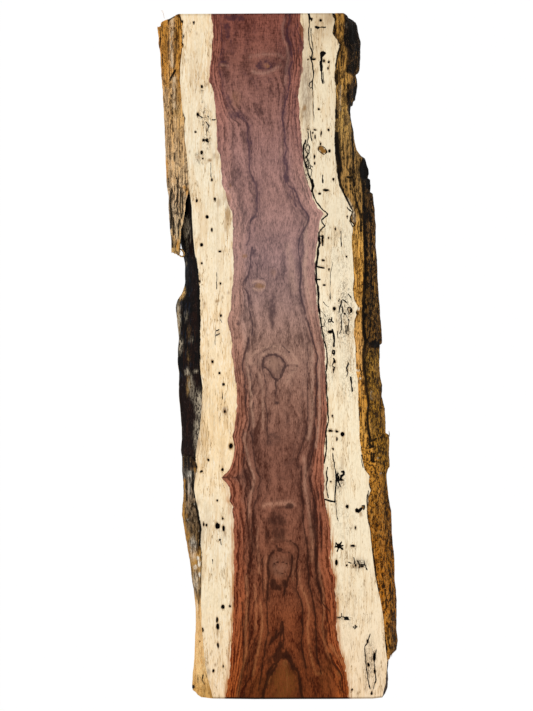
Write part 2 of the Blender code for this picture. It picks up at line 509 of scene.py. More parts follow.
# Dark lines in the heartwood: half width, strength and points
heartLines = linesOf([
    (0.9, 0.6, 219, 14, 220.5, 20, 221.3, 27, 222, 40, 222.6, 47, 220.5, 54, 219, 60, 218.4, 68, 221, 76,
    222.3, 84, 222.5, 92, 225, 97), (1.2, 0.35, 225, 96, 228, 104, 231, 110, 236, 114, 242, 118), (1.2, 0.7,
    242, 118, 246.5, 121, 248.7, 127, 247, 132, 247.3, 138, 249, 145, 249.3, 158, 249.5, 172, 253, 178,
    256, 185), (2.1, 0.65, 253.5, 179, 256.5, 186, 256.7, 195, 257, 205, 256.5, 212), (1.3, 0.65, 256.5, 211,
    254.5, 216.5, 251, 219.5, 250, 224, 250, 232, 249.2, 239, 246, 245), (1.1, 0.8, 252, 247, 250.5, 257,
    250, 265, 249, 272, 247, 277, 243.8, 282, 243.3, 286, 245, 289.5, 248, 293, 248.6, 300, 249, 309,
    251, 317, 252.6, 325, 252, 335), (1.3, 0.7, 248.5, 338, 247.5, 347, 244, 356, 242.8, 363, 242.6, 370,
    245, 377, 245.5, 383, 244.6, 387, 246.5, 394, 245.5, 400, 246, 406, 248.5, 412, 249.6, 418, 249, 430),
    (0.8, 0.6, 249.5, 366, 250.2, 375, 252, 382, 251.6, 388, 253.3, 396, 253.5, 402, 252.4, 408), (0.9, 0.6,
    257.7, 359, 257.6, 368), (1, 0.6, 262, 367, 264.2, 375, 266, 384, 266, 392, 265, 400, 265.6, 408,
    267.6, 416, 267, 428, 267.5, 444), (1.4, 0.65, 243.5, 430, 241.5, 438, 243.3, 447, 244.2, 456, 243.6, 466,
    246.5, 475, 250.3, 482, 251, 490), (1.4, 0.65, 251, 431, 252.6, 440, 253.6, 450, 255, 462, 256.5, 471,
    260, 477, 260.4, 482, 258, 488, 257.4, 498, 254, 507, 253, 516, 252, 530, 252.5, 545, 250.8, 558,
    250.6, 570), (0.8, 0.5, 268.5, 479, 266.5, 489, 265, 497, 261.5, 503), (0.8, 0.6, 221, 478, 232, 477,
    243, 478), (0.8, 0.5, 247, 526, 247.4, 537, 245.8, 550, 242.8, 558, 241.5, 565, 243.4, 572, 244.5, 580,
    246, 590, 245, 604), (0.7, 0.5, 255, 528, 255.6, 540, 254.5, 560), (0.9, 0.7, 242, 603, 243, 615,
    242.4, 626, 243.4, 640, 243.6, 655, 242.5, 668, 240.5, 682, 237.5, 698), (0.9, 0.6, 249.3, 600,
    248.6, 615, 249.3, 635, 249, 655, 247.5, 668, 246, 680, 244, 697), (1, 0.5, 253, 628, 254, 640,
    253.8, 655, 252.5, 670, 250, 690), (1.4, 0.7, 267, 596, 266.8, 612, 267.6, 625, 268.5, 632, 265.5, 644,
    264, 655, 262.4, 664, 261, 676, 258.5, 690), (1.7, 0.8, 290.2, 14, 289.5, 21, 287.2, 28, 286.6, 35,
    288, 40, 291, 45), (1.4, 0.75, 291.3, 44, 291.5, 52, 292.6, 60, 290.6, 66, 288.8, 71, 290, 78, 289.4, 86,
    288, 93, 285.5, 101, 284, 110, 282.4, 118, 283.5, 126), (1.3, 0.75, 283.5, 125, 285, 131, 285, 138,
    284.3, 141, 286, 145, 287.4, 149, 285, 154, 284.5, 160, 286.4, 165, 287.2, 170), (0.9, 0.7, 296.5, 22,
    297.4, 30, 300, 37, 302, 43, 301.6, 52), (0.6, 0.5, 294, 28, 294.3, 42, 294.6, 56), (0.6, 0.5, 298.4, 43,
    298.4, 54), (0.7, 0.45, 295, 92, 295.4, 104, 294.2, 112, 296, 121, 295, 128, 296, 136, 297.5, 146),
    (1.2, 0.75, 286.5, 170, 285, 175, 286.3, 181, 289.5, 187, 294, 188.5, 297, 194, 299, 201, 302, 208,
    306.5, 212.5, 309, 217, 307.6, 223, 305, 229, 302, 233, 299.5, 239, 298.3, 247, 299.3, 256, 300, 263,
    301, 270), (1, 0.55, 303, 231, 302.4, 239, 303.6, 247, 303, 253, 301, 259), (1.25, 0.85, 301, 268,
    301, 276, 299.8, 285, 300.6, 295, 302.4, 303, 305, 311, 306.5, 319, 309.5, 328, 312, 337, 313.6, 344,
    316, 352, 318, 356, 317.4, 361, 315.8, 367, 317, 374, 316.6, 381, 317, 389, 315.6, 400, 315.4, 412,
    314.8, 421, 315.6, 430, 314.4, 442, 312.2, 452, 311.3, 460, 309, 467, 308.6, 476, 310, 484, 312.4, 492,
    314, 500), (1.2, 0.4, 314, 303, 316, 316, 317.2, 328, 319, 339, 322.6, 352, 324, 358, 322.5, 367,
    322.8, 380, 323, 395, 324.2, 412, 323.5, 430), (1, 0.6, 306.5, 343, 308, 352, 308.8, 358, 307, 365,
    308, 376, 307.4, 386, 308, 400, 307.4, 417, 306.6, 432, 303, 443, 299.6, 452, 296.5, 461, 298, 468),
    (0.7, 0.35, 304, 382, 303.6, 404), (0.7, 0.35, 301.5, 392, 301, 412), (1.3, 0.8, 301.5, 466, 301, 476,
    300.5, 485, 302.2, 493, 303.2, 503, 303, 515, 303.6, 526, 305.6, 535, 307.2, 545, 308, 556, 307.6, 565,
    309, 575, 308.2, 583, 310.8, 590, 312.6, 598, 314, 606, 315.3, 615, 316, 630, 316, 645, 317.3, 657,
    320, 668, 321, 674), (1.9, 0.85, 314, 500, 315.4, 506, 314.6, 515, 314.4, 525, 315.4, 535, 315.6, 545,
    315.8, 560, 316.5, 572, 318, 584, 321, 592, 321.4, 603), (1.2, 0.8, 322.5, 603, 326, 607.5, 329.5, 611),
    (1.6, 0.55, 327, 613, 326.6, 625, 326.8, 636, 327.5, 645), (1.3, 0.75, 330, 654, 332.5, 662, 336, 667.5,
    340.6, 673, 341.8, 679, 340, 685, 342, 691, 345.5, 694), (0.7, 0.5, 335.5, 590, 335.5, 610, 336, 626,
    337.3, 640), (1.9, 1, 276, 662, 271, 668, 267.4, 675, 266.6, 684, 264, 691, 262, 698), (1.7, 1, 291, 660,
    294, 668, 299, 673, 299.6, 684, 300.4, 691, 303, 698), (1.2, 0.8, 281.4, 622, 280.4, 630, 277, 637,
    273, 641, 269, 645), (0.9, 0.45, 306, 670, 309.5, 690), (0.8, 0.5, 311, 668, 313, 680, 316, 697),
    (0.8, 0.35, 253, 245, 262, 241, 270, 238.4, 280, 236, 290, 233.6), (0.8, 0.35, 246, 31, 245, 38, 246, 44,
    244, 52), (0.7, 0.3, 253, 21, 254, 36), (0.7, 0.35, 281, 40, 281.4, 60), (0.7, 0.35, 284.5, 44,
    284.6, 62), (0.9, 0.4, 257.5, 78, 261, 80, 266, 79, 270, 79), (0.9, 0.4, 303.5, 360, 304.3, 373,
    302.7, 388, 303.5, 404, 301.2, 422, 296.5, 441, 293.4, 457), (1.2, 0.35, 296.5, 368, 292.5, 385,
    290.3, 396, 287.2, 407, 286.4, 421), (0.8, 0.4, 255.4, 374.5, 258.5, 382.3, 260.8, 393), (0.8, 0.45,
    253, 362, 257, 355, 263, 350.4, 270, 348.4), (0.9, 0.5, 246.3, 484, 246.3, 495, 247.9, 505, 247, 518,
    244.7, 529, 243, 541, 242.2, 554, 246, 563.6, 247.6, 573), (0.9, 0.3, 241.4, 479, 243, 492, 242.2, 508,
    239.8, 524, 238.2, 538), (1.4, 0.6, 319.5, 513, 320.7, 525, 322.3, 541, 320.6, 552),
    # The small knots
    (0.8, 0.4, 246, 282.6, 249.4, 279, 256.3, 277.4, 263, 279, 266.5, 282.6, 265.7, 289.4, 261.4, 293.7,
    254.6, 292.8, 250.3, 289.4), (0.7, 0.4, 269, 275.7, 270, 268.9, 274.2, 266.3, 278.5, 268.9, 279.4, 275.7,
    275, 280.9, 270.8, 280, 269, 275.7), (0.9, 0.7, 256.4, 65.5, 259.3, 62, 262.9, 60.5, 268.7, 62,
    271.6, 65.5, 270.1, 67.7, 266.5, 69.2, 261.4, 69.2, 257.8, 67.7, 256.4, 65.5), (0.9, 0.4, 272, 63.5,
    275, 65, 278, 64), (1, 0.65, 220, 61.3, 225, 62, 229, 64), (0.8, 0.45, 231, 40, 231.8, 53), (0.9, 0.35,
    243, 73, 247, 77, 251, 78.3, 254.3, 82, 256.5, 88), (0.8, 0.7, 290.4, 190.5, 290, 196, 291.8, 199),
    (0.9, 0.75, 292.5, 190, 293.3, 195, 295.2, 199, 295, 205, 296.3, 207), (0.9, 0.5, 296, 191, 297, 199),
    (0.9, 0.55, 255, 262, 258, 267, 262, 266.6, 264, 262, 264.6, 255, 264, 247), (1.3, 0.45, 286.4, 236,
    286, 243, 284.6, 250, 285, 257, 284, 263, 285, 270, 283, 277), (0.7, 0.4, 256, 279.4, 262, 279, 267, 277),
    (0.8, 0.35, 263, 273, 268, 268, 275, 266, 279.5, 271), (0.6, 0.35, 271.5, 272, 274, 269, 278, 270),
    (1.1, 0.35, 290.3, 284, 290.6, 300, 290, 318), (0.9, 0.4, 257, 291.5, 260, 296, 264.4, 291), (0.6, 0.35,
    255.5, 283.5, 254.4, 286.5, 256.5, 289),
    # The main knot
    (1.15, 1, 262.3, 361, 264, 357.5, 267, 355.5, 271, 354.7, 276, 355, 280, 356.8, 283, 359.8, 285, 363,
    285.8, 366, 284.6, 369, 282.6, 373, 281, 377, 278, 379.5, 275, 378.6, 272.5, 376.6, 271, 374, 269, 371,
    266, 368, 263, 367, 262.3, 361), (1.7, 0.85, 263, 361, 262.8, 366.5), (2, 0.95, 285.4, 366, 283, 371,
    280.5, 377), (1.4, 0.75, 276, 380, 275.2, 384, 276, 388, 275.7, 398), (0.9, 0.5, 263.7, 351.8,
    268.5, 347.6, 273, 345.9), (1.1, 0.6, 282, 345.5, 286, 349, 289.3, 352.6), (0.7, 0.65, 286, 366,
    291, 365.5, 298, 365.6), (0.6, 0.5, 286.5, 370.5, 296, 370), (0.6, 0.5, 266, 370, 269, 374.5), (0.6, 0.5,
    264.6, 372, 268, 376.5), (0.6, 0.5, 267, 376, 269, 377.5),
    # The lower knot
    (1, 0.6, 264.4, 555, 262.4, 559, 262, 564, 263, 571, 262.6, 580, 262.6, 590, 264, 600), (1.5, 0.95,
    273, 552.5, 270, 555.5, 268.3, 560, 267.6, 566, 268.5, 572, 268.4, 580, 267.5, 590, 267.4, 600), (2, 0.9,
    268.5, 571, 268.8, 580), (1.2, 0.6, 272.5, 551, 280, 551.6, 290, 552), (1.4, 0.95, 292, 556, 292, 563,
    291.6, 569, 290, 575, 287, 582, 285, 587, 283.8, 595), (1.7, 0.9, 292.2, 558, 292, 561), (2.2, 0.9,
    288, 580, 284.5, 586), (0.7, 0.85, 272.5, 564.6, 276, 562.7, 280, 561.6, 284, 562.4, 288, 564.4),
    (0.7, 0.7, 272, 566, 275.5, 565), (0.7, 0.6, 276, 570.5, 279.5, 572.4, 283, 573.6, 287, 571.4),
    (1.2, 0.85, 290, 541, 294, 543.3, 297.3, 546, 298.7, 550, 298.3, 556, 297, 563, 296.5, 570, 297, 577,
    296.6, 585, 296, 589, 298.4, 594, 300.5, 599, 302.5, 607, 303, 612, 302, 620, 303, 630, 302, 637,
    301.3, 645, 303, 653, 304.4, 661, 306, 668), (0.8, 0.4, 270, 545, 276, 542, 284, 541.4, 291, 541.2),
    # The flame under it
    (1.4, 1, 282, 621.5, 282.7, 627, 281, 633, 280.3, 641, 279, 648), (1.1, 0.85, 283.5, 627, 283.6, 636,
    283.2, 648), (1.3, 0.9, 276.3, 631, 275.3, 637, 273, 640.8, 270.6, 643), (0.7, 0.7, 277.6, 637,
    278.6, 646), (2, 1, 277.5, 659, 276.4, 665, 273.5, 670.5, 270, 675, 267.5, 679.5), (2.2, 0.95,
    267.5, 679.5, 265.8, 685, 263.6, 691, 262.6, 698), (1.8, 0.95, 288, 655, 290.3, 660.5, 292.3, 666,
    296.5, 669, 298.7, 674, 300, 681, 301, 688, 302.8, 698), (0.9, 1, 318.4, 491, 318.2, 500),
], 2)
# Pale lines in it
paleLines = linesOf([
    (1.5, 0.6, 264, 506, 270, 503.8, 282, 503, 293, 504.5), (1, 0.6, 246.4, 576, 247.2, 601, 245.6, 626,
    245.6, 639, 246.4, 652, 243, 667, 239.8, 682, 237.3, 697), (1, 0.55, 248, 353, 246, 362, 247.3, 371,
    249.6, 380, 250, 388, 251.4, 397, 251, 407, 253, 417, 253.4, 427), (1.1, 0.6, 245.3, 434, 243.8, 440,
    246.4, 449, 248.5, 460, 252, 470, 254.4, 478, 253.6, 484, 251, 494, 248.8, 504, 249.5, 517), (1.5, 0.55,
    303.7, 458, 305.3, 473, 304.5, 487, 307.6, 502, 309.2, 513, 311, 528, 311.8, 544, 312.2, 560), (1.5, 0.45,
    311.3, 345, 312.8, 354, 311.8, 365, 312.8, 376, 312, 392, 312.6, 407, 311.3, 423, 308.2, 438), (1.1, 0.6,
    318, 343, 319.4, 364, 319, 384, 319.8, 404, 318.6, 426, 316, 447), (0.9, 0.5, 246.8, 362, 253, 354.3,
    260.8, 348.9, 271.7, 346.2, 281, 346.6, 288.8, 350.4, 295, 357.4, 298, 363.6), (1, 0.55, 258.5, 363.6,
    260.8, 356.6, 266, 352.6, 275.6, 351.6, 284, 354.4, 288, 360), (0.6, 0.5, 288.8, 363.6, 298, 363.3),
    (0.6, 0.45, 287.2, 368.3, 296.5, 368.3), (0.6, 0.35, 246, 363.5, 260, 363.8), (0.9, 0.4, 258.5, 373,
    261.6, 382.3, 263.1, 394.7, 262.7, 410, 263.1, 428.9), (1.6, 0.35, 295, 368.3, 289.8, 376, 287, 381),
    (0.8, 0.4, 258.4, 528, 256.8, 541, 258.4, 557, 259.2, 573), (0.8, 0.45, 266, 556, 265, 566, 265.6, 578,
    265.4, 588), (1, 0.35, 294.6, 560, 293.6, 570, 293, 580), (1, 0.5, 260.4, 603, 262.6, 622.6, 260.4, 639,
    256.3, 659, 253, 675), (0.8, 0.4, 254.7, 585, 256.3, 609, 255.5, 629), (1, 0.4, 299.4, 570, 299.4, 584,
    305.7, 596, 309, 609, 307.4, 629, 309, 645, 312, 662, 316, 674, 322, 673), (0.9, 0.4, 318.4, 562,
    320, 577, 323.4, 593, 324, 609, 322.4, 629, 325, 645, 329.5, 658), (1.5, 0.5, 330.4, 645.7, 340.3, 658.8,
    345.6, 667, 347.6, 679), (1.2, 0.35, 272, 507, 276, 503, 284, 501.3, 291, 501.5, 295, 505), (1.8, 0.5,
    306.6, 222, 305.9, 228, 305.6, 238, 306.8, 252, 304.4, 265.5, 305.4, 279, 308.6, 296, 313, 312),
    (3.4, 0.3, 287, 245, 290.5, 257, 292.2, 274, 293.9, 289.4), (0.9, 0.6, 252.9, 282.6, 258, 280.9,
    264, 282.6, 264.8, 287.7, 259.7, 291, 253.7, 288.5), (1.3, 0.4, 252.8, 71.3, 262.9, 73.8, 273, 69.9,
    280.3, 65.5), (1.1, 0.3, 249.9, 56.9, 262.9, 54, 278.8, 54.7, 283.9, 58.3), (1, 0.35, 220.9, 64.8,
    228.2, 66.3), (0.7, 0.35, 282, 142, 281, 150, 280, 158), (0.8, 0.25, 271, 540, 280, 537.6, 288, 538.5),
    (1, 0.4, 270, 676, 267.8, 683), (1.2, 0.35, 284.6, 18, 282.4, 28, 283, 38, 287, 46, 288.4, 58, 286.6, 70,
    285.6, 84),
], 2)
# Soft places, here and below: middle, half width, half length and strength. Dark ones in the heartwood
heartShades = [
    (231, 17.5, 8, 3.5, 0.75), (241, 18, 4, 2.8, 0.75), (227, 27, 4, 4.5, 0.65), (227.5, 35, 3, 4, 0.65),
    (236, 33, 2.4, 3.6, 0.3), (232, 22, 14, 16, 0.2), (260.5, 65.5, 4, 3, 0.55), (288, 34, 3, 8, 0.4),
    (228, 101, 4, 7, 0.4), (236, 115, 10, 5.5, 0.5), (251.5, 143, 1.2, 3.4, 0.6), (284, 113, 3.6, 15, 0.3),
    (285, 161.5, 3.4, 5, 0.6), (286.3, 177.5, 3.2, 6.5, 0.65), (240, 169, 3, 3, 0.3), (273, 139, 6, 4, 0.25),
    (264, 139, 1.6, 3, 0.3), (254.5, 253, 4.2, 5.5, 0.55), (254.5, 215.5, 4, 3.4, 0.45),
    (231, 184, 1.6, 5, 0.4), (254.6, 230, 1.6, 4, 0.35), (261, 232, 7, 9, 0.2), (283, 207, 9, 4.5, 0.2),
    (241, 213, 4, 5, 0.25), (304.5, 228, 2.4, 3, 0.4), (303, 252.5, 3.4, 3.6, 0.35), (272.5, 310, 5, 21, 0.6),
    (273, 313, 3, 15, 0.6), (267, 296, 4, 3.4, 0.35), (268.5, 283, 2.2, 5, 0.35), (284, 297, 6, 12, 0.2),
    (276.5, 278, 3, 2.6, 0.3), (238, 323, 2.2, 2.4, 0.65), (252, 303, 2.2, 2.4, 0.5), (264, 327, 3, 5, 0.3),
    (256.5, 343, 3, 4, 0.3), (276.6, 403.2, 2.2, 2.6, 0.75), (278.6, 413.5, 1.5, 2, 0.5),
    (288, 421, 2.2, 11, 0.35), (277, 520, 11, 10, 0.6), (279, 534, 8, 10, 0.6), (277, 527, 5, 14, 0.4),
    (273, 439, 9, 9, 0.45), (272, 442, 6, 7, 0.35), (246, 476, 7, 9, 0.45), (290, 462, 11, 7, 0.3),
    (297, 464.5, 4, 6, 0.35), (284, 475, 12, 7, 0.3), (262, 478, 8, 10, 0.2), (258, 494, 3, 9, 0.3),
    (289.5, 506, 4.2, 3.2, 0.85), (282.5, 507.3, 8, 2.6, 0.45), (273, 521, 3.4, 10, 0.55),
    (284, 519, 4.6, 10, 0.4), (278, 525, 10, 16, 0.25), (287, 533, 5, 7, 0.35), (267.4, 536, 3, 10, 0.45),
    (253, 535, 4, 20, 0.3), (247.5, 564, 3, 5, 0.45), (280, 549.5, 3.2, 2.6, 0.9),
    (276.6, 546.8, 1.5, 1.7, 0.6), (273, 584, 4, 6, 0.85), (278, 587.5, 7, 3.2, 0.8), (285, 584, 3.4, 5, 0.8),
    (279, 652, 3.6, 6.4, 1), (284.5, 656, 5, 3.8, 1), (289, 658, 3.4, 4, 0.9), (276.6, 659, 3.2, 5.4, 1),
    (281.4, 646, 1.6, 5, 0.8), (286.5, 650, 1.3, 4, 0.7), (272, 640, 2.2, 4, 0.7), (276, 634, 1.6, 5, 0.6),
    (282, 629, 1.3, 6, 0.7), (269, 661, 3, 6, 0.6), (293, 667, 2.4, 5, 0.8), (279, 656, 8, 4, 0.9),
    (315, 520, 4, 16, 0.45), (316, 550, 3.6, 26, 0.35), (296.8, 669, 2, 2, 0.8), (341, 684, 2.6, 4.5, 0.5),
    (281, 600, 14, 14, 0.12), (298, 600, 2.4, 9, 0.3),
]
# Pale and golden brown ones
heartGlows = [
    (274, 363, 8, 7, 0.7), (278, 370, 6, 6, 0.6), (280, 566.5, 10, 12, 0.8), (266.5, 65, 2.6, 1.8, 0.5),
    (285, 663, 2.6, 3.6, 0.5), (236, 99, 5, 9, 0.4), (273.6, 272.6, 3.2, 3.6, 0.45), (293, 197, 3, 5, 0.3),
    (338.6, 673.6, 3, 3, 0.5), (287, 677, 0.8, 13, 0.35), (222, 65.5, 3, 1.8, 0.25),
]
heartAmber = [
    (283, 684, 15, 22, 0.9), (262, 690, 14, 16, 0.3), (326, 676, 8, 20, 0.3), (325, 545, 4, 50, 0.2),
]

# Worm holes in the sapwood: middle, half width and half length
wormHoles = [
    (193.6, 22, 0.9, 0.9), (201.7, 86.5, 1.1, 1.6), (182.4, 21.4, 0.9, 1.3), (183.2, 44.4, 0.8, 0.9),
    (183.4, 35.6, 0.5, 1.3), (197.8, 114, 1.3, 1.6), (195.3, 132, 1, 1), (203.6, 140.2, 1.2, 1.4),
    (206.8, 139.6, 1, 1.6), (201.7, 152.4, 1.4, 1.7), (202.6, 158.4, 0.8, 0.8), (212, 180, 0.9, 1.5),
    (197, 200.7, 1.1, 1.5), (214.7, 199, 1.3, 1.4), (206.9, 216.6, 1.8, 1.8), (211.7, 230, 1.1, 1.9),
    (201.7, 244.7, 1.3, 1.7), (219.9, 251.5, 1.6, 0.9), (201.7, 263.4, 0.9, 1), (199.6, 281.2, 0.9, 1),
    (220.5, 283.5, 0.8, 1), (220.8, 315.5, 0.9, 1.2), (212.3, 361.6, 1.1, 1.3), (219.5, 373, 1.1, 1.2),
    (223.5, 384.5, 1.2, 1.2), (225, 411.4, 1, 1.3), (231, 446, 1.7, 2.2), (208.5, 460, 1.3, 1.2),
    (201.5, 471.6, 1.6, 1), (222.5, 469.5, 1.1, 1.2), (217.2, 500.4, 1.1, 0.9), (222.7, 519, 1, 0.9),
    (217.6, 526.3, 2.3, 2.5), (223.5, 528.7, 1.3, 2.5), (219.8, 540, 0.9, 1), (203.6, 524.6, 1, 1.4),
    (206.5, 525, 1.1, 1.5), (223, 607, 1.7, 2.4), (229.9, 606.3, 1, 0.9), (217.4, 620, 1, 2.6),
    (217.8, 626.6, 1.5, 3), (202.4, 630, 1.3, 2.2), (218.2, 645.4, 0.8, 2.6), (223.6, 666.5, 0.8, 1.1),
    (213.5, 671, 1, 1.5), (320.8, 19.9, 1.7, 1.3), (311.7, 18.6, 1.2, 0.9), (324, 61, 0.8, 1.5),
    (328.9, 61.9, 1.1, 1.1), (328, 68, 1, 1.3), (319, 109, 1, 1.1), (328.5, 129.8, 0.9, 1.2),
    (313.7, 59, 1.8, 1), (307.8, 59.4, 0.8, 0.8), (308, 128.6, 1.2, 0.6), (315, 129.8, 2, 0.7),
    (312.6, 133, 0.8, 1), (315.2, 137, 0.9, 2), (321.2, 133, 0.8, 2.2), (320.5, 144, 0.7, 1.5),
    (329.5, 151, 1.5, 1.6), (314.5, 156.3, 0.8, 1.7), (314.6, 163, 0.7, 1.4), (333.5, 179, 1.1, 1),
    (326, 190, 3.2, 1.2), (319.6, 193.7, 1.5, 1.1), (347, 216, 0.8, 0.8), (335.5, 229, 0.9, 1.4),
    (328.5, 238, 0.8, 1), (322.6, 241, 1, 3), (346.5, 256.5, 0.9, 0.9), (323, 260, 1.8, 0.9),
    (329.2, 269, 1, 1), (324.3, 285, 1.6, 1), (334.5, 308.3, 1.8, 1.6), (351, 310.5, 1, 1),
    (357.4, 312.4, 1.1, 2.2), (330, 332, 2.6, 1.4), (334.5, 362, 1.2, 1.4), (334, 370, 1.1, 1.3),
    (347, 370, 0.9, 1.1), (332.2, 416, 0.9, 1.1), (330.5, 431.3, 2.4, 0.8), (336.8, 431.4, 1.7, 1),
    (342.7, 434.3, 2, 2.2), (336.6, 439, 0.9, 1.9), (333, 449, 0.9, 1.1), (330.6, 481.3, 0.9, 0.8),
    (341.5, 480.3, 2, 0.9), (338.4, 478, 1.2, 2), (347.3, 506.6, 1.5, 1.7), (357, 510.6, 1.9, 2.2),
    (355.6, 527.8, 0.8, 1.6), (339, 546.5, 2.4, 2.2), (353, 546.2, 2.3, 1.1), (336.6, 562.5, 1.1, 2.8),
    (355.5, 565.6, 0.9, 1.1), (362, 566.3, 1.4, 1.2), (346.7, 565.5, 0.9, 1), (367.5, 641.5, 1, 1.7),
    (374.2, 656.5, 1.2, 4), (368.6, 665.4, 1.3, 1.4), (374.8, 671.7, 1.1, 2.2), (372, 694, 1.1, 1.1),
    (352, 690, 1, 1.2),
]
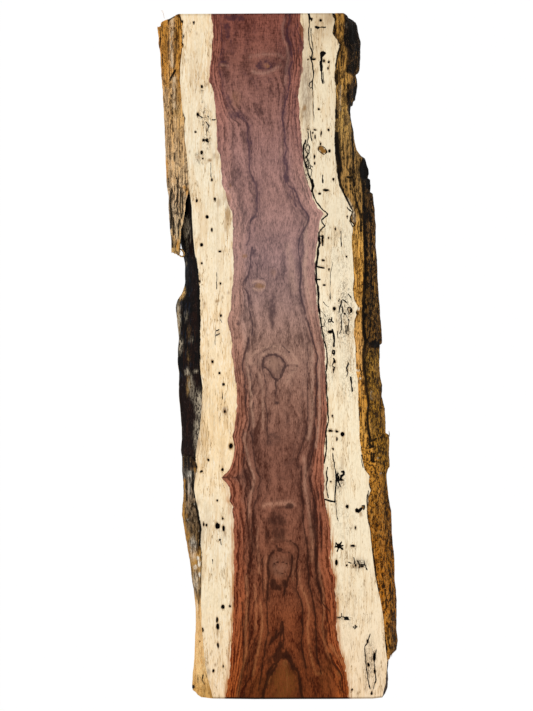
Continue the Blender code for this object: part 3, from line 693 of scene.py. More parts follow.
# Black lines that the rot has drawn: half width and points
blackLines = linesOf([
    (0.55, 368.2, 491, 367.2, 500, 367.2, 510, 368.6, 521), (0.3, 361.4, 455, 361.8, 463, 363, 468), (0.5,
    308.5, 13, 309.5, 20, 309, 30, 309, 42, 310.5, 47, 312.5, 52, 311.5, 60, 313, 66, 313.5, 72, 313.5, 78,
    312, 82, 312.8, 90), (0.15, 312.9, 90, 313.5, 110, 314, 122), (0.3, 311, 28, 311.5, 40, 313, 50), (0.5,
    310, 56, 311.8, 61, 313.4, 70), (0.4, 312, 81, 309.5, 83, 308.5, 86, 310.5, 88.5, 312.4, 87), (0.55,
    316.8, 27, 325.2, 26.8), (1.4, 316.2, 27, 318, 27.6), (0.9, 308.6, 12.5, 310.4, 18.6), (1.9, 322.2, 52.8,
    322.6, 55), (1, 321.7, 55, 321.8, 61), (1.3, 321.1, 62, 321.4, 70), (0.7, 321.5, 70, 321.9, 76,
    322.6, 83), (1.5, 322, 52.4, 324.6, 53.2), (0.3, 323.5, 72, 324.2, 83), (0.45, 307.6, 131, 308, 137,
    307.4, 142, 309.4, 147, 309.3, 152, 307, 158, 309, 163, 308.6, 168, 312, 170, 311, 176), (0.75,
    305.6, 140, 303.8, 145, 303.2, 152, 304.2, 160, 305.6, 164, 307, 169, 308.6, 174, 310.6, 179, 312.3, 184),
    (0.4, 304.5, 143, 307.5, 145, 305, 149, 308, 154, 305.6, 158), (0.4, 306, 162, 309, 160), (0.4, 307, 167,
    310, 165, 312.6, 167), (0.4, 310.5, 131, 311.6, 141), (1.15, 312, 180, 313, 187, 312, 191), (0.6,
    312.6, 191, 314, 197, 317, 203, 321, 208, 325, 211.5, 327.6, 214.4, 325, 217.4, 321.6, 220, 322.6, 223,
    325, 226, 321.5, 229, 319.6, 232, 318.8, 239), (1, 319, 233, 319, 240, 320.2, 243, 318.4, 248,
    317.4, 256), (1, 317.4, 256, 316.6, 262, 315.8, 268, 316.4, 274, 316, 279, 317.6, 286, 318.3, 294,
    318.4, 302, 319.4, 311), (0.65, 319.4, 311, 320.6, 320, 322, 331, 324.6, 342, 326.6, 351, 327.2, 360,
    327, 368, 325.8, 372, 326.4, 381, 326.7, 391, 327.5, 401, 327.6, 412, 328.6, 420, 327, 426, 325.8, 432,
    326.3, 440, 326.2, 448, 325.4, 456, 324.2, 463), (0.5, 327.5, 467, 326.6, 474, 327.2, 480, 326.4, 486,
    327.2, 492, 328.6, 498), (0.5, 322.5, 175, 322.5, 183), (0.4, 318, 149, 318.8, 146.8, 322.5, 146.4,
    325.5, 148.4, 326.6, 152.6, 324.4, 154.8, 321, 152.4, 318.4, 150.6, 318, 149), (0.5, 318.5, 234.5,
    321, 236, 323, 235.4, 323.6, 238), (0.9, 322.6, 237, 322.8, 245), (0.7, 317, 266.4, 320, 267.6, 324, 268),
    (0.7, 317, 279, 320, 279.4), (0.45, 347.3, 207, 352.6, 213, 349.5, 221, 354, 229), (0.4, 341, 232,
    341.5, 246), (0.2, 333, 262, 330.5, 275, 330, 290, 330.5, 300), (0.35, 323.5, 302, 326, 305,
    328.6, 306.6), (0.6, 341.5, 300.5, 341.3, 304, 340, 307, 339.3, 312), (0.6, 342, 307, 343.2, 312), (0.5,
    342.5, 299.6, 344.6, 300.6, 346.6, 302.4), (0.4, 338.4, 300.6, 340, 298.6), (0.45, 348, 294, 350, 296,
    350.8, 298.6), (0.4, 347.8, 307, 347.6, 311, 349.4, 313.6, 351.6, 312, 351.4, 308.6, 349.6, 307,
    347.8, 307), (0.7, 344.6, 313.4, 345.2, 314.4), (0.25, 321, 311.5, 324, 314, 326.6, 318), (0.35,
    321, 318.5, 324, 318.5, 325, 322, 324, 326, 321.6, 326.6), (0.35, 341, 315, 341.6, 328, 339.6, 333.6),
    (0.5, 348.6, 319, 348.8, 322, 347.6, 327, 348, 331), (0.4, 346, 325, 346, 333, 348, 335), (0.5,
    328.3, 320, 329.5, 318.8, 331, 319.6, 330.8, 321.4, 329, 321.8, 328.3, 320), (0.5, 332, 317.4,
    331.6, 320.4, 333.6, 322.4), (0.95, 332.4, 330, 333.4, 335, 334.2, 340, 334.2, 346), (0.3, 337.5, 331,
    338.2, 338), (0.6, 332.8, 353.6, 333.2, 350.6, 334.8, 350.8, 334.4, 354.2, 332.8, 353.6), (0.5,
    333.8, 358.6, 334.6, 361, 332.6, 366, 334.8, 368, 333.4, 373), (0.55, 348.4, 363, 346.4, 368, 348, 372,
    346.6, 376), (0.75, 350.4, 377, 351.6, 384, 352, 391), (0.45, 332.8, 453, 333.6, 460, 334.4, 466,
    335.5, 472), (0.75, 335.5, 472, 336.4, 480, 336, 487, 335.4, 495, 334.6, 502), (0.7, 325, 499.5,
    329, 500.5, 334.6, 501.6), (0.6, 336, 477, 338, 473, 337.6, 480, 340, 486), (0.9, 341.6, 472,
    343.8, 471.6, 343.6, 474.6, 341.4, 475.6, 340.6, 479), (0.8, 336, 481, 342, 480), (0.3, 336, 503,
    336.6, 512, 338, 521), (0.8, 336, 543, 342.5, 549.5), (0.8, 341.5, 542, 337, 551.5), (0.7, 335, 547,
    343, 545.4), (1.3, 358.4, 512, 361.4, 508.4), (0.7, 362, 505.6, 364.4, 505.6, 364, 509.4), (0.5, 348, 562,
    351, 563.6), (0.5, 354, 558, 355.4, 565), (0.5, 357, 561, 360, 565, 359.6, 568), (0.5, 361, 564, 365, 565,
    367, 570), (0.35, 364.4, 560, 364.6, 564), (0.3, 337, 617, 346, 617, 351, 618), (0.3, 337.5, 619.6,
    343, 619.2, 352, 620.4), (0.5, 341.4, 613.5, 341.6, 617), (0.35, 353, 627, 355, 625, 357, 627, 355, 629.2,
    353, 627), (0.45, 370.5, 634, 368, 641, 365, 647, 365.5, 660.5, 367.4, 676.5, 370, 689), (0.35, 376, 650,
    374.5, 665, 376, 680, 373, 690), (0.05, 201.8, 88, 202.2, 103), (0.2, 199, 91.5, 204.5, 90.5), (0.5,
    198, 115, 202.8, 117.5), (0.4, 206, 122, 209.5, 126, 207, 131), (0.4, 207.5, 116, 209, 117.5), (0.6,
    212.3, 119.5, 215, 119.8), (0.8, 205.5, 139.5, 208, 141.5), (0.25, 210.5, 163, 211.3, 178), (0.2,
    216.5, 272, 216.6, 289), (0.4, 220.3, 320, 222, 322.5), (0.5, 216, 331, 219, 330), (0.5, 216, 335.6,
    219.6, 334), (0.15, 215.2, 325, 215.4, 345), (0.35, 222, 392, 222.4, 399), (0.35, 220.6, 541.5,
    221.4, 545), (0.25, 212.5, 559, 212.7, 564), (0.35, 206, 128, 206.6, 136),
], 1)
# Stains, grey wood, and places where fine black lines run close together
brownSpots = [
    (259.8, 286, 5.2, 2.2, 0.6), (244.7, 255.3, 3, 0.9, 0.6), (230.6, 186, 1, 2.2, 0.4),
    (268, 66.5, 2, 1.5, 0.4), (196.5, 33, 1.5, 1, 0.5), (196.5, 46, 1.5, 1, 0.5), (207, 83.5, 1.3, 1.8, 0.6),
    (214.6, 155.5, 2.2, 3, 0.5), (218, 157.5, 2.2, 2, 0.35), (209.9, 160.2, 2.4, 1.6, 0.9),
    (198.3, 157.8, 2.6, 3, 0.5), (189.7, 152.4, 1, 2, 0.6), (231, 278.3, 1.6, 0.7, 0.7),
    (224, 279.6, 2, 0.8, 0.6), (227.5, 293.3, 2.2, 0.8, 0.7), (217, 301.3, 2.4, 0.9, 0.8),
    (320.6, 148.6, 3.6, 2.8, 1.2), (323.8, 151.4, 3.4, 2.8, 1.2), (304.5, 108, 2.4, 3, 0.7),
    (302.5, 32, 3, 8, 0.25), (324, 22, 14, 20, 0.3), (340, 19, 6, 8, 0.25), (329, 18, 5, 8, 0.55),
    (225, 411, 1.8, 2.2, 0.6), (231, 446, 2.9, 3.4, 1), (199, 434, 1.8, 22, 0.24), (206, 388, 1.2, 26, 0.26),
    (203, 450, 0.8, 22, 0.28), (214, 428, 0.7, 26, 0.2), (209.6, 400, 0.8, 20, 0.22),
    (196.4, 470, 1.8, 10, 0.3), (316, 30, 10, 30, 0.15), (313, 106, 0.8, 16, 0.5), (195, 70, 7, 26, 0.12),
    (217.6, 240, 1.6, 60, 0.12), (321, 267, 4, 1.5, 0.6), (212.3, 361.6, 1.8, 2.4, 0.5),
    (208.5, 457.5, 1.4, 2.4, 0.4), (204, 304, 1.6, 3, 0.5), (224.8, 534, 1.2, 3.4, 0.6),
    (217.6, 633, 1.2, 4.5, 0.6), (215.3, 665, 1.3, 1.3, 0.7), (213.8, 671, 1.2, 2, 0.7),
    (226, 198, 5, 6, 0.3), (227.6, 214, 2.6, 10, 0.6), (219, 203, 3, 5, 0.4), (226.5, 226, 3, 7, 0.3),
    (358, 693, 1.4, 1, 0.6), (362.6, 507.4, 2, 2, 1), (361, 514, 2, 3, 0.6), (218.2, 645.4, 1.2, 3.6, 0.7),
    (203, 683, 6, 9, 0.3), (342, 464, 2, 7, 0.35), (340, 488, 3, 3, 0.3), (349.5, 310.4, 2.4, 3.6, 0.45),
    (336, 372, 2, 10, 0.1), (218.5, 333, 2.2, 3, 0.4), (203.6, 524.6, 1.2, 2.2, 0.6), (323, 241, 2, 5, 0.3),
    (315.5, 192, 1.6, 1.4, 0.6), (202, 533, 2.4, 14, 0.35), (198, 503, 2, 5, 0.3), (357, 566, 6, 1.8, 0.45),
    (202.6, 440, 3, 40, 0.18),
]
greySpots = [
    (306.5, 92, 6.4, 38, 0.8), (306, 40, 3, 26, 0.3), (208.3, 672, 2.4, 3.8, 0.7), (207.5, 125, 2.6, 4, 0.6),
    (199.5, 404, 4, 16, 0.7), (197.5, 436, 2.6, 18, 0.6), (326, 480, 3, 18, 0.25), (306, 160, 3, 28, 0.4),
    (203, 90, 4, 6, 0.15), (340, 319, 1.2, 7, 0.5), (345, 325, 9, 32, 0.15), (339, 480, 6, 12, 0.3),
    (359, 563, 8, 6, 0.45), (369, 664, 8, 26, 0.25), (208, 520, 4, 16, 0.2), (306, 117, 5, 8, 0.3),
    (333, 371, 1.6, 6, 0.4), (225, 410.5, 3.2, 3.4, 0.95), (220.7, 318, 1.2, 4, 0.5), (336, 507, 4, 6, 0.2),
]
crackles = [
    (307, 160, 3.5, 30, 0.9), (325, 225, 5, 24, 0.25), (341, 250, 12, 30, 0.35), (345, 312, 9, 40, 0.7),
    (327, 330, 6, 22, 0.7), (349, 375, 9, 30, 0.4), (332, 360, 5, 26, 0.4), (339, 480, 7, 14, 0.7),
    (359, 564, 9, 5, 1), (345, 520, 12, 22, 0.25), (370, 664, 7, 26, 0.7), (352, 620, 22, 8, 0.25),
    (205, 118, 7, 12, 0.7), (207, 140, 5, 12, 0.6), (200, 158, 6, 7, 0.6), (343, 200, 8, 20, 0.15),
    (222, 535, 6, 14, 0.2), (345, 600, 14, 60, 0.12), (205, 662, 4, 16, 0.3), (309, 80, 4, 40, 0.25),
]

# How far the bare waney side's lower part is set in: row, pixels
waneDents = [
    (262, 0.4), (276, 0.6), (284, 2.4), (291, 3), (298, 0), (304, -0.8), (326, 0), (336, 1.8), (362, 1.8),
    (374, 2.8), (386, 1), (398, 0), (434, 0), (442, -0.6), (448, -2.4), (454, -4), (462, -3.4), (470, 0),
]
# Pale weathered places on it and golden remains of bark
palePatches = [
    (185.8, 227, 2.8, 11, 2.2), (186.6, 246, 1.4, 8, 0.5), (190, 232, 1.2, 12, 0.3), (186, 262, 1.5, 5, 0.25),
    (199.6, 404, 4.4, 15, 1.1), (198, 438, 4, 24, 0.9), (193, 392, 3, 10, 0.4), (178.8, 319, 2.2, 19, 1),
    (180.4, 345, 2.2, 9, 0.9), (187, 372, 2.4, 4, 0.8), (196.3, 371, 2.6, 2, 0.8), (176.6, 357, 1.6, 3, 0.8),
    (190, 384, 2, 10, 0.6), (186, 316, 2, 6, 0.35), (191, 340, 2.4, 3, 0.4),
]
goldPatches = [
    (181.4, 292, 3.4, 7.5, 1.6), (196.3, 466, 2.8, 7, 0.6), (188, 357, 1.5, 9, 0.15),
    (188.4, 332, 1.4, 8, 0.15), (188, 386, 2, 10, 0.4), (178.5, 322, 1.4, 20, 0.4), (197, 452, 2, 8, 0.4),
]


def rimShift(along, side):
    # How far the waney rim wanders outwards, the same for the board and the bark on it
    wanted = (valueAt(sapRims[side], rowOf(along)) - photo["middle"][0]) * photo["pixel"]
    plain = sideAt(boardSides, along, np.ones(len(along)))[0 if side < 0 else 1]
    places = np.column_stack((along, np.full(len(along), side * 0.4)))
    wander = board["rimWander"] * layeredDrift(places, (board["rimCell"], 1.0), board["seed"], 3, 0.6)
    return np.clip(side * (wanted - plain), -board["rimReach"], board["rimReach"]) + wander


def shapeBoard(shares):
    # From shares of the plain block to the sawn board with its waney sides
    across, along, up = shares.T
    length = board["length"]
    straight = length * (along - 0.5)
    left, right = sideAt(boardSides, straight, up)
    sideways = left + (right - left) * across
    nearCut = np.interp(sideways, *np.array(board["nearCut"]).T * mm) + length / 2
    farCut = np.interp(sideways, *np.array(board["farCut"]).T * mm) - length / 2
    places = np.column_stack((sideways, straight + nearCut + (farCut - nearCut) * along, up * thickness))
    for side in (-1, 1):
        nearRim = np.clip(side * (2 * across - 1), 0, 1) ** board["rimFalloff"]
        places[:, 0] += side * nearRim * rimShift(places[:, 1], side)
        if side < 0:
            places[:, 0] += nearRim * (1 - up) * valueAt(waneDents, rowOf(places[:, 1])) * photo["pixel"]
    return places


def fromSpot(seen, spot):
    # Distance from a spot's middle, where 1 is its edge
    return np.hypot(*((seen - spot[:2]) / spot[2:4]).T)


def insideBox(seen, points, span):
    return ((seen > points.min(axis=0) - span) & (seen < points.max(axis=0) + span)).all(axis=1)


def nearMarks(seen, spots, lines, reach):
    # Which places are within reach, in pixels, of a spot or a line
    wanted = np.zeros(len(seen), bool)
    for x, y, halfWidth, halfLength, *_ in spots:
        wanted |= (np.abs(seen - (x, y)) < (halfWidth + reach, halfLength + reach)).all(axis=1)
    for points, halfWidth, *_ in lines:
        close = np.flatnonzero(insideBox(seen, points, halfWidth + reach) & ~wanted)
        wanted[close[toLine(seen[close], points) < halfWidth + reach]] = True
    return wanted


def softSpots(seen, spots):
    # The strongest of several soft spots at each place
    result = np.zeros(len(seen))
    for spot in spots:
        result = np.maximum(result, spot[4] * (1 - smoothStep(0.45, 1.35, fromSpot(seen, spot))))
    return result


def softLines(seen, lines, widen=1.0):
    result = np.zeros(len(seen))
    for points, halfWidth, strength in lines:
        halfWidth = halfWidth * widen
        close = np.flatnonzero(insideBox(seen, points, 3.5 * halfWidth))
        away = toLine(seen[close], points) / halfWidth
        result[close] = np.maximum(result[close], strength * np.exp(-(away**2) * 0.7))
    return result


def edgeDistance(seen, spots, lines, furthest):
    # Millimetres to the nearest edge of a spot or line, less than nothing inside it
    near = np.full(len(seen), furthest * mm / photo["pixel"])
    for spot in spots:
        near = np.minimum(near, (fromSpot(seen, spot) - 1) * min(spot[2:4]))
    for points, halfWidth in lines:
        close = np.flatnonzero(insideBox(seen, points, 4))
        near[close] = np.minimum(near[close], toLine(seen[close], points) - halfWidth)
    return near * photo["pixel"] / mm


def acrossAt(line, rows):
    # Where a line that runs along the board is across it, in metres
    x, y = np.array(line, float).T
    return (np.interp(rows, y, x) - photo["middle"][0]) * photo["pixel"]


def growth(places):
    # Distance inside the heartwood's border in millimetres, share across it, and growth ring
    rows, half = rowOf(places[:, 1]), board["heartHalf"]
    lines = [acrossAt(line, rows) for line in (heartLeft, bandLeft, bandRight, heartRight)]
    lines.insert(2, (lines[1] + lines[2]) / 2)
    middle = (lines[0] + lines[4]) / 2
    # Each place is followed along its ring, round the pith, to the upper face
    across, depth = places[:, 0] - middle, thickness - places[:, 2]
    squared = across**2 - 2 * board["pith"] * depth + depth**2
    top = middle + np.sign(across) * np.sqrt(np.maximum(squared, 0))
    share = np.where(top < middle, -1 + (top - lines[0]) / half, 1 + (top - lines[4]) / half)
    shares = (-1, -0.6, 0, 0.6, 1)
    for index in range(4):
        inside = (top >= lines[index]) & (top <= lines[index + 1])
        part = (top - lines[index]) / np.maximum(lines[index + 1] - lines[index], mm)
        share = np.where(inside, shares[index] + (shares[index + 1] - shares[index]) * part, share)
    heart = np.minimum(top - lines[0], lines[4] - top) / mm
    ring = share**2 + valueAt(ringDrift, rows) * (1 - np.clip(np.abs(share), 0, 1) ** 2)
    ring += np.minimum(squared, 0) / half**2
    seen = np.column_stack((top / photo["pixel"] + photo["middle"][0], rows))
    for x, y, halfWidth, halfLength, push in knots:
        ring += push * np.exp(-(((seen - (x, y)) / (halfWidth, halfLength)) ** 2).sum(axis=1) / 3.5)
    return heart, share, ring


boardSides = sidesOf("slab", board["endInset"])


def makeBoard():
    low, high = (np.array(corner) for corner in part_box("slab"))
    piece = addBlank("board", low, high)
    for axis, cuts in ((1, "cutsAlong"), (0, "cutsAcross"), (2, "cutsUp")):
        cutEvenly(piece, axis, board[cuts])
    selectOnly(piece, faces=faceFacts(piece)[1][:, 2] > -0.5)
    subdivideSelected(2)
    shares = np.clip((vertexPlaces(piece) - low) / (high - low), 0, 1)
    placeVertices(piece, shapeBoard(shares))
    for index, name in enumerate(("blankAcross", "blankAlong")):
        setAttribute(piece, name, shares[:, index])
    # Finer cells where there is more to see
    for lines, spots, reach, cuts in (
            (heartLines, heartGlows, 0.3, 1), (paleLines, [], 0, 1), (blackLines, wormHoles, 0.5, 2)):
        middles, normals = faceFacts(piece)
        wanted = nearMarks(inPhoto(middles), spots, lines, reach)
        selectOnly(piece, faces=wanted & (normals[:, 2] > 0.9))
        subdivideSelected(cuts)
    return piece


def betweenRows(rows, first, last, outside, inside):
    begun = smoothStep(first - outside, first + inside, rows)
    return begun * smoothStep(last + outside, last - inside, rows)


def paintBoard(piece):
    # The fields that the wood's material reads, and then the holes and the rough waney sides
    places = vertexPlaces(piece)
    blankAcross, blankAlong = getAttribute(piece, "blankAcross"), getAttribute(piece, "blankAlong")
    up = places[:, 2] / thickness
    onTop = (up > 0.998).astype(float)
    onWane = (blankAcross < 0.001) | (blankAcross > 0.999)
    heart, share, ring = growth(places)
    ragged = layeredDrift(places[:, :2], (7 * mm, 15 * mm), 26, 3, 0.6)
    seen = inPhoto(places)
    seen[:, 0] += 0.7 * layeredDrift(places[:, :2], (5 * mm, 13 * mm), 21, 2, 0.6)
    seen[:, 1] += 0.4 * drift(places[:, :2], (9 * mm, 14 * mm), 24)
    # The soft shadow of each dark line, on its side towards the board's middle
    beside = seen + np.column_stack((1.1 * np.sign(seen[:, 0] - 275), np.zeros(len(seen))))
    shade = np.maximum(softLines(seen, heartLines, 0.62), softSpots(seen, heartShades))
    left, right = sideAt(boardSides, places[:, 1], up)
    left, right = left - rimShift(places[:, 1], -1), right + rimShift(places[:, 1], 1)
    inFromRim = np.clip(np.minimum(places[:, 0] - left, right - places[:, 0]) / mm, 0, 30)
    overRim = -np.clip(np.minimum(places[:, 2], thickness - places[:, 2]) / mm, 0, 3)
    holes = np.where(onTop > 0, edgeDistance(seen, wormHoles, [], 4), 4)
    black = np.where(onTop > 0, edgeDistance(seen, [], blackLines, 4), 4)
    # A black line along the border with the bark in those rows: partly the wood's black edge, partly painted
    # shade of the gap between them
    rimGapShade = np.zeros(len(places))
    for first, last, side in gapShadeRims:
        inRows = betweenRows(seen[:, 1], first, last, 4, 2)
        rimGapShade = np.maximum(rimGapShade, inRows * (side * (blankAcross - 0.5) > 0))
    fields = {
        "heart": np.clip(heart + 3.2 * ragged, -80, 80), "share": share, "ring": ring,
        "shade": shade * onTop, "haze": softLines(beside, heartLines, 2.3) * onTop,
        "glow": softSpots(seen, heartGlows) * onTop, "amber": softSpots(seen, heartAmber) * onTop,
        "light": softLines(seen, paleLines) * onTop, "brown": softSpots(seen, brownSpots) * onTop,
        "grey": softSpots(seen, greySpots) * onTop, "crackle": softSpots(seen, crackles) * onTop,
        "hole": holes, "black": black, "pale": softSpots(seen, palePatches) * onWane,
        "gold": softSpots(seen, goldPatches) * onWane, "rim": np.where(onWane, overRim, inFromRim),
        "rimGapShade": rimGapShade, "cutEnd": np.minimum(blankAlong, 1 - blankAlong) * board["length"] / mm,
    }
    for name, values in fields.items():
        setAttribute(piece, name, values)
    inward = smoothStep(0, -1.3, holes)
    lineInward = smoothStep(0.2, -0.4, black) * (1 - inward)
    places[:, 2] -= board["holeDepth"] * inward + board["lineDepth"] * lineInward
    side = np.where(blankAcross < 0.5, -1, 1)
    knobs = layeredDrift(places[:, 1:], (34 * mm, 9 * mm), 31, 4, 0.6)
    fade = smoothStep(0, 0.12, up) * smoothStep(1, 0.85, up) * onWane
    for first, last, barkSide in barkRows:
        fade *= 1 - 0.8 * (betweenRows(seen[:, 1], first, last, 4, 4) * (side == barkSide))
    places[:, 0] += side * fade * board["waneRough"] * knobs
    placeVertices(piece, places)


# The wood's colours, in codes or in codes at rows of the photograph
wood = {
    "heartCore": [
        (14, "#98594a"), (60, "#935f51"), (110, "#a57468"), (160, "#b2857c"), (200, "#b3877d"),
        (260, "#b38c86"), (300, "#ae897f"), (345, "#b98f7d"), (400, "#a77966"), (450, "#91614f"),
        (500, "#94604c"), (560, "#935a41"), (620, "#955130"), (697, "#86421d"),
    ],
    "heartBorder": [
        (14, "#985a4a"), (60, "#a66755"), (100, "#b17667"), (156, "#b58478"), (190, "#cf9d8f"),
        (260, "#b98e83"), (330, "#c4937f"), (400, "#b1755d"), (460, "#ae6c52"), (520, "#b06a4e"),
        (600, "#ae5f3a"), (697, "#bb6029"),
    ],
    "heartShade": [(14, "#88797a"), (250, "#979da4"), (400, "#8a7b79"), (600, "#7a5c4f"), (697, "#785640")],
    "deep": [
        (14, "#40232a"), (150, "#4b343e"), (250, "#4a3a41"), (330, "#432f31"), (400, "#3a2523"),
        (470, "#371d18"), (560, "#2f150d"), (697, "#2a1106"),
    ],
    "sap": [
        (14, "#fce2ba"), (150, "#f5e6c9"), (240, "#f9e6c4"), (330, "#fcdfb4"), (390, "#ffdeac"),
        (440, "#ffdba6"), (480, "#ffe2b6"), (530, "#fae8c8"), (600, "#ffeac4"), (690, "#ffdfb4"),
    ],
    "glow": [(60, "#9c6c50"), (366, "#92705f"), (569, "#8b5d48"), (663, "#8e5c30")],
    "pale": [
        (14, "#ae7f6e"), (250, "#c49d8c"), (400, "#bb917a"), (500, "#b5826a"), (600, "#b5754e"),
        (697, "#b06834"),
    ],
    "amber": "#6e3f18",
    "sapTan": "#d8ae74",
    "sapGrey": "#bfae8c",
    "sapLight": "#fff6e4",
    "sapCream": [
        (14, "#f4e2c0"), (230, "#f5e5c6"), (300, "#fff1d4"), (440, "#fff1d2"), (560, "#ffedcc"),
        (697, "#ffe3bf"),
    ],
    "fringe": "#bd7a42",
    "thread": "#8c6c42",
    "inkAndShade": "#0a0706",
    # black of spalt lines and cracks, and of painted shade in holes and gaps
    "stain": "#8d622c",
    "greyed": "#a6917a",
    "charcoal": "#060505",
    "waneBrown": "#190b07",
    # the colour of a painted blue-grey sheen on the black wane
    "waneBlueSheen": "#131a26",
    "waneStreak": "#2e180f",
    "waneSpeck": "#5a4c44",
    "waneBare": "#6b4a28",
    "waneGold": "#dcae6a",
    "wanePale": "#b3a48c",
}


def makeWood():
    material, shader = newMaterial("sawn wood", 0.65, 0.05)
    across, along, height = axesOf(work["place"])
    heart, share, ring = (painted(name) for name in ("heart", "share", "ring"))
    mottle = grain((10, 52, 14), 4, 0.6)
    fibre = grain((3, 15, 4), 3, 0.65)
    pores = grain((2.1, 6.5, 3), 1, 0.5, offset=(1, 2, 3))
    jag = grain((7, 13, 8), 3, 0.6, offset=(4, 4, 4))
    # Growth rings: each darkens slowly outwards, ends in a scalloped edge and starts pale
    rings = combined(ring, along)
    slow = grain((0.3, 0.13, 1), 2, 0.5, across=rings)
    fineRings = grain((0.12, 0.10, 1), 2, 0.5, warp=0.3, offset=(9, 2, 0), across=rings)
    strength = grain((0.16, 0.07, 1), 2, 0.5, offset=(3, 7, 0), across=rings)
    out = calc("ABSOLUTE", share)
    part = calc("FRACT", plus(times(ring, 3.0), times(out, 3.6), swing(slow, 2.4), swing(jag, 0.7)))
    darkLine = times(remap(part, 0.35, 0.88), remap(part, 1.0, 0.92))
    paleLine = times(remap(part, 0.0, 0.08), remap(part, 0.45, 0.12))
    figure = times(remap(out, 0.25, 0.70, 0.30, 1.0), remap(gap(along, 0.3), 0.12, 0.48, 0.45, 1.0),
                   remap(strength, 0.32, 0.6, 0.25, 1))
    zones = grain((0.24, 0.085, 1), 2, 0.5, offset=(5, 5, 5), across=combined(share, along))
    curl = grain((26, 6, 14), 3, 0.6, warp=1.2, offset=(8, 8, 8))
    light = plus(
        0.63, swing(mottle, 0.8), swing(fibre, 2.3), swing(pores, 1.3), swing(zones, 1.5),
        times(swing(curl, 1.1), remap(along, 0.5, 0.75, 0.25, 1)), times(swing(fineRings, 1.5), figure),
        times(darkLine, figure, -0.75), times(paleLine, figure, 0.40),
        remap(gap(out, 0.6), 0.0, 0.15, -0.10, 0.0))
    # On the sawn ends the rings are arcs round the pith, with saw marks across them
    above = calc("SUBTRACT", height, thickness - board["pith"])
    radius = calc("SQRT", plus(times(across, across), times(above, above)))
    arcs = grain((5 * mm, 300 * mm, 1), 3, 0.6, across=combined(radius, along))
    sawMarks = grain((3 * mm, 1, 90 * mm), 2, 0.5, offset=(3, 0, 1), across=combined(across, 0.0, height))
    endLight = plus(0.55, swing(arcs, 3.2), swing(sawMarks, 1.0), swing(pores, 0.8))
    onEnd = times(remap(painted("cutEnd"), 0.5, 0.1),
                  remap(height, thickness - 0.3 * mm, thickness - 1.5 * mm))
    light = limited(put("Mix", {0: onEnd, 2: light, 3: endLight}).outputs[0])
    # The heartwood
    plain = mix(remap(heart, 42, 20), wood["heartCore"], wood["heartBorder"])
    heartTone = mix(light, mix(1.0, plain, wood["heartShade"], "MULTIPLY"), plain)
    deep = asColour(wood["deep"])
    stroke = plus(painted("shade"), swing(jag, 1.0), swing(fibre, 1.2))
    heartTone = covered(
        heartTone,
        (times(painted("amber"), remap(plus(pores, swing(mottle, 0.8)), 0.35, 0.62, 1, 0.3)), wood["amber"]),
        (times(painted("light"), remap(plus(fibre, swing(jag, 1)), 0.30, 0.55, 0.4, 1.4)), wood["pale"]),
        (times(painted("glow"), remap(plus(fibre, swing(mottle, 1)), 0.3, 0.6, 0.2, 1)), wood["glow"]),
        (remap(pores, 0.58, 0.70, 0, 0.45), deep),
        (times(painted("haze"), remap(plus(mottle, swing(jag, 0.8)), 0.36, 0.58, 0.1, 0.62)), deep),
        (times(remap(stroke, 0.14, 0.72), remap(painted("shade"), 0.04, 0.3), 0.8), deep))
    # The sapwood
    streaks = grain((5, 75, 9), 4, 0.65)
    flecks = grain((2.8, 17, 5), 3, 0.6, offset=(5, 3, 1))
    cloud = grain((30, 90, 30), 2, 0.5, offset=(2, 2, 2))
    broad = grain((10, 130, 20), 2, 0.5, offset=(1, 7, 1))
    dots = grain((2.4, 9, 3), 2, 0.55, offset=(1, 2, 3))
    tan = highest(remap(broad, 0.52, 0.72, 0, 0.45),
                  remap(plus(streaks, swing(cloud, 0.5)), 0.50, 0.66, 0, 0.5),
                  remap(plus(flecks, swing(cloud, 0.6)), 0.54, 0.66, 0, 0.6))
    fringe = times(remap(heart, -14, -1, 0, 0.95), remap(along, -0.30, -0.44, 0.15, 1),
                   remap(streaks, 0.38, 0.6, 0.2, 1))
    sapTone = covered(
        wood["sap"],
        (remap(flecks, 0.48, 0.34, 0, 0.55), wood["sapLight"]),
        (remap(share, -0.3, 0.3, 0.28, 0.8), wood["sapCream"]),
        (times(tan, remap(share, -0.3, 0.3, 0.85, 0.6)), wood["sapTan"]),
        (remap(plus(dots, swing(cloud, -0.8)), 0.56, 0.70, 0, 0.22), wood["sapGrey"]),
        (fringe, wood["fringe"]))
    # Both together, with stains, spalt lines and holes
    border = plus(heart, swing(jag, 5.0), swing(fibre, 3.0))
    threads = grain((8, 80, 12), 3, 0.6, warp=0.5, offset=(2, 9, 4))
    threads = times(remap(gap(threads, 0.5), 0.024, 0.006),
                    remap(plus(cloud, swing(flecks, 0.6)), 0.42, 0.6, 0.1, 0.75), remap(border, 0, -3))
    webs = grain((7, 15, 9), 3, 0.55, warp=0.8)
    webs = times(remap(gap(webs, 0.5), 0.040, 0.012), painted("crackle"))
    black = remap(plus(painted("black"), swing(jag, 1.4)), 0.75, -0.2)
    # Painted shade of the gap beside the bark, with its black edge, along the rim
    rimShadeLine = times(remap(plus(painted("rim"), swing(jag, 7)), 2.2, 0.6), painted("rimGapShade"))
    endLine = times(
        remap(painted("cutEnd"), 6.2, 3.0, 0, 0.95), remap(heart, -8, 4, 0.5, 1),
        remap(along, 0.5, -0.5, 0.4, 1), remap(height, thickness - 3.0 * mm, thickness - 0.6 * mm))
    sawn = covered(
        mix(remap(border, -0.8, 0.8), sapTone, heartTone),
        (threads, wood["thread"]),
        (times(painted("grey"), remap(flecks, 0.3, 0.6, 0.4, 1.0)), wood["greyed"]),
        (painted("brown"), wood["stain"]),
        (remap(painted("hole"), 3.0, 0.3, 0, 0.4), wood["stain"]),
        # Black: spalt lines, the line along the sawn ends, painted shade inside the worm holes and painted
        # shade of the gap at the bark
        (highest(webs, black, remap(painted("hole"), 0.6, -0.2), rimShadeLine, endLine), wood["inkAndShade"]))
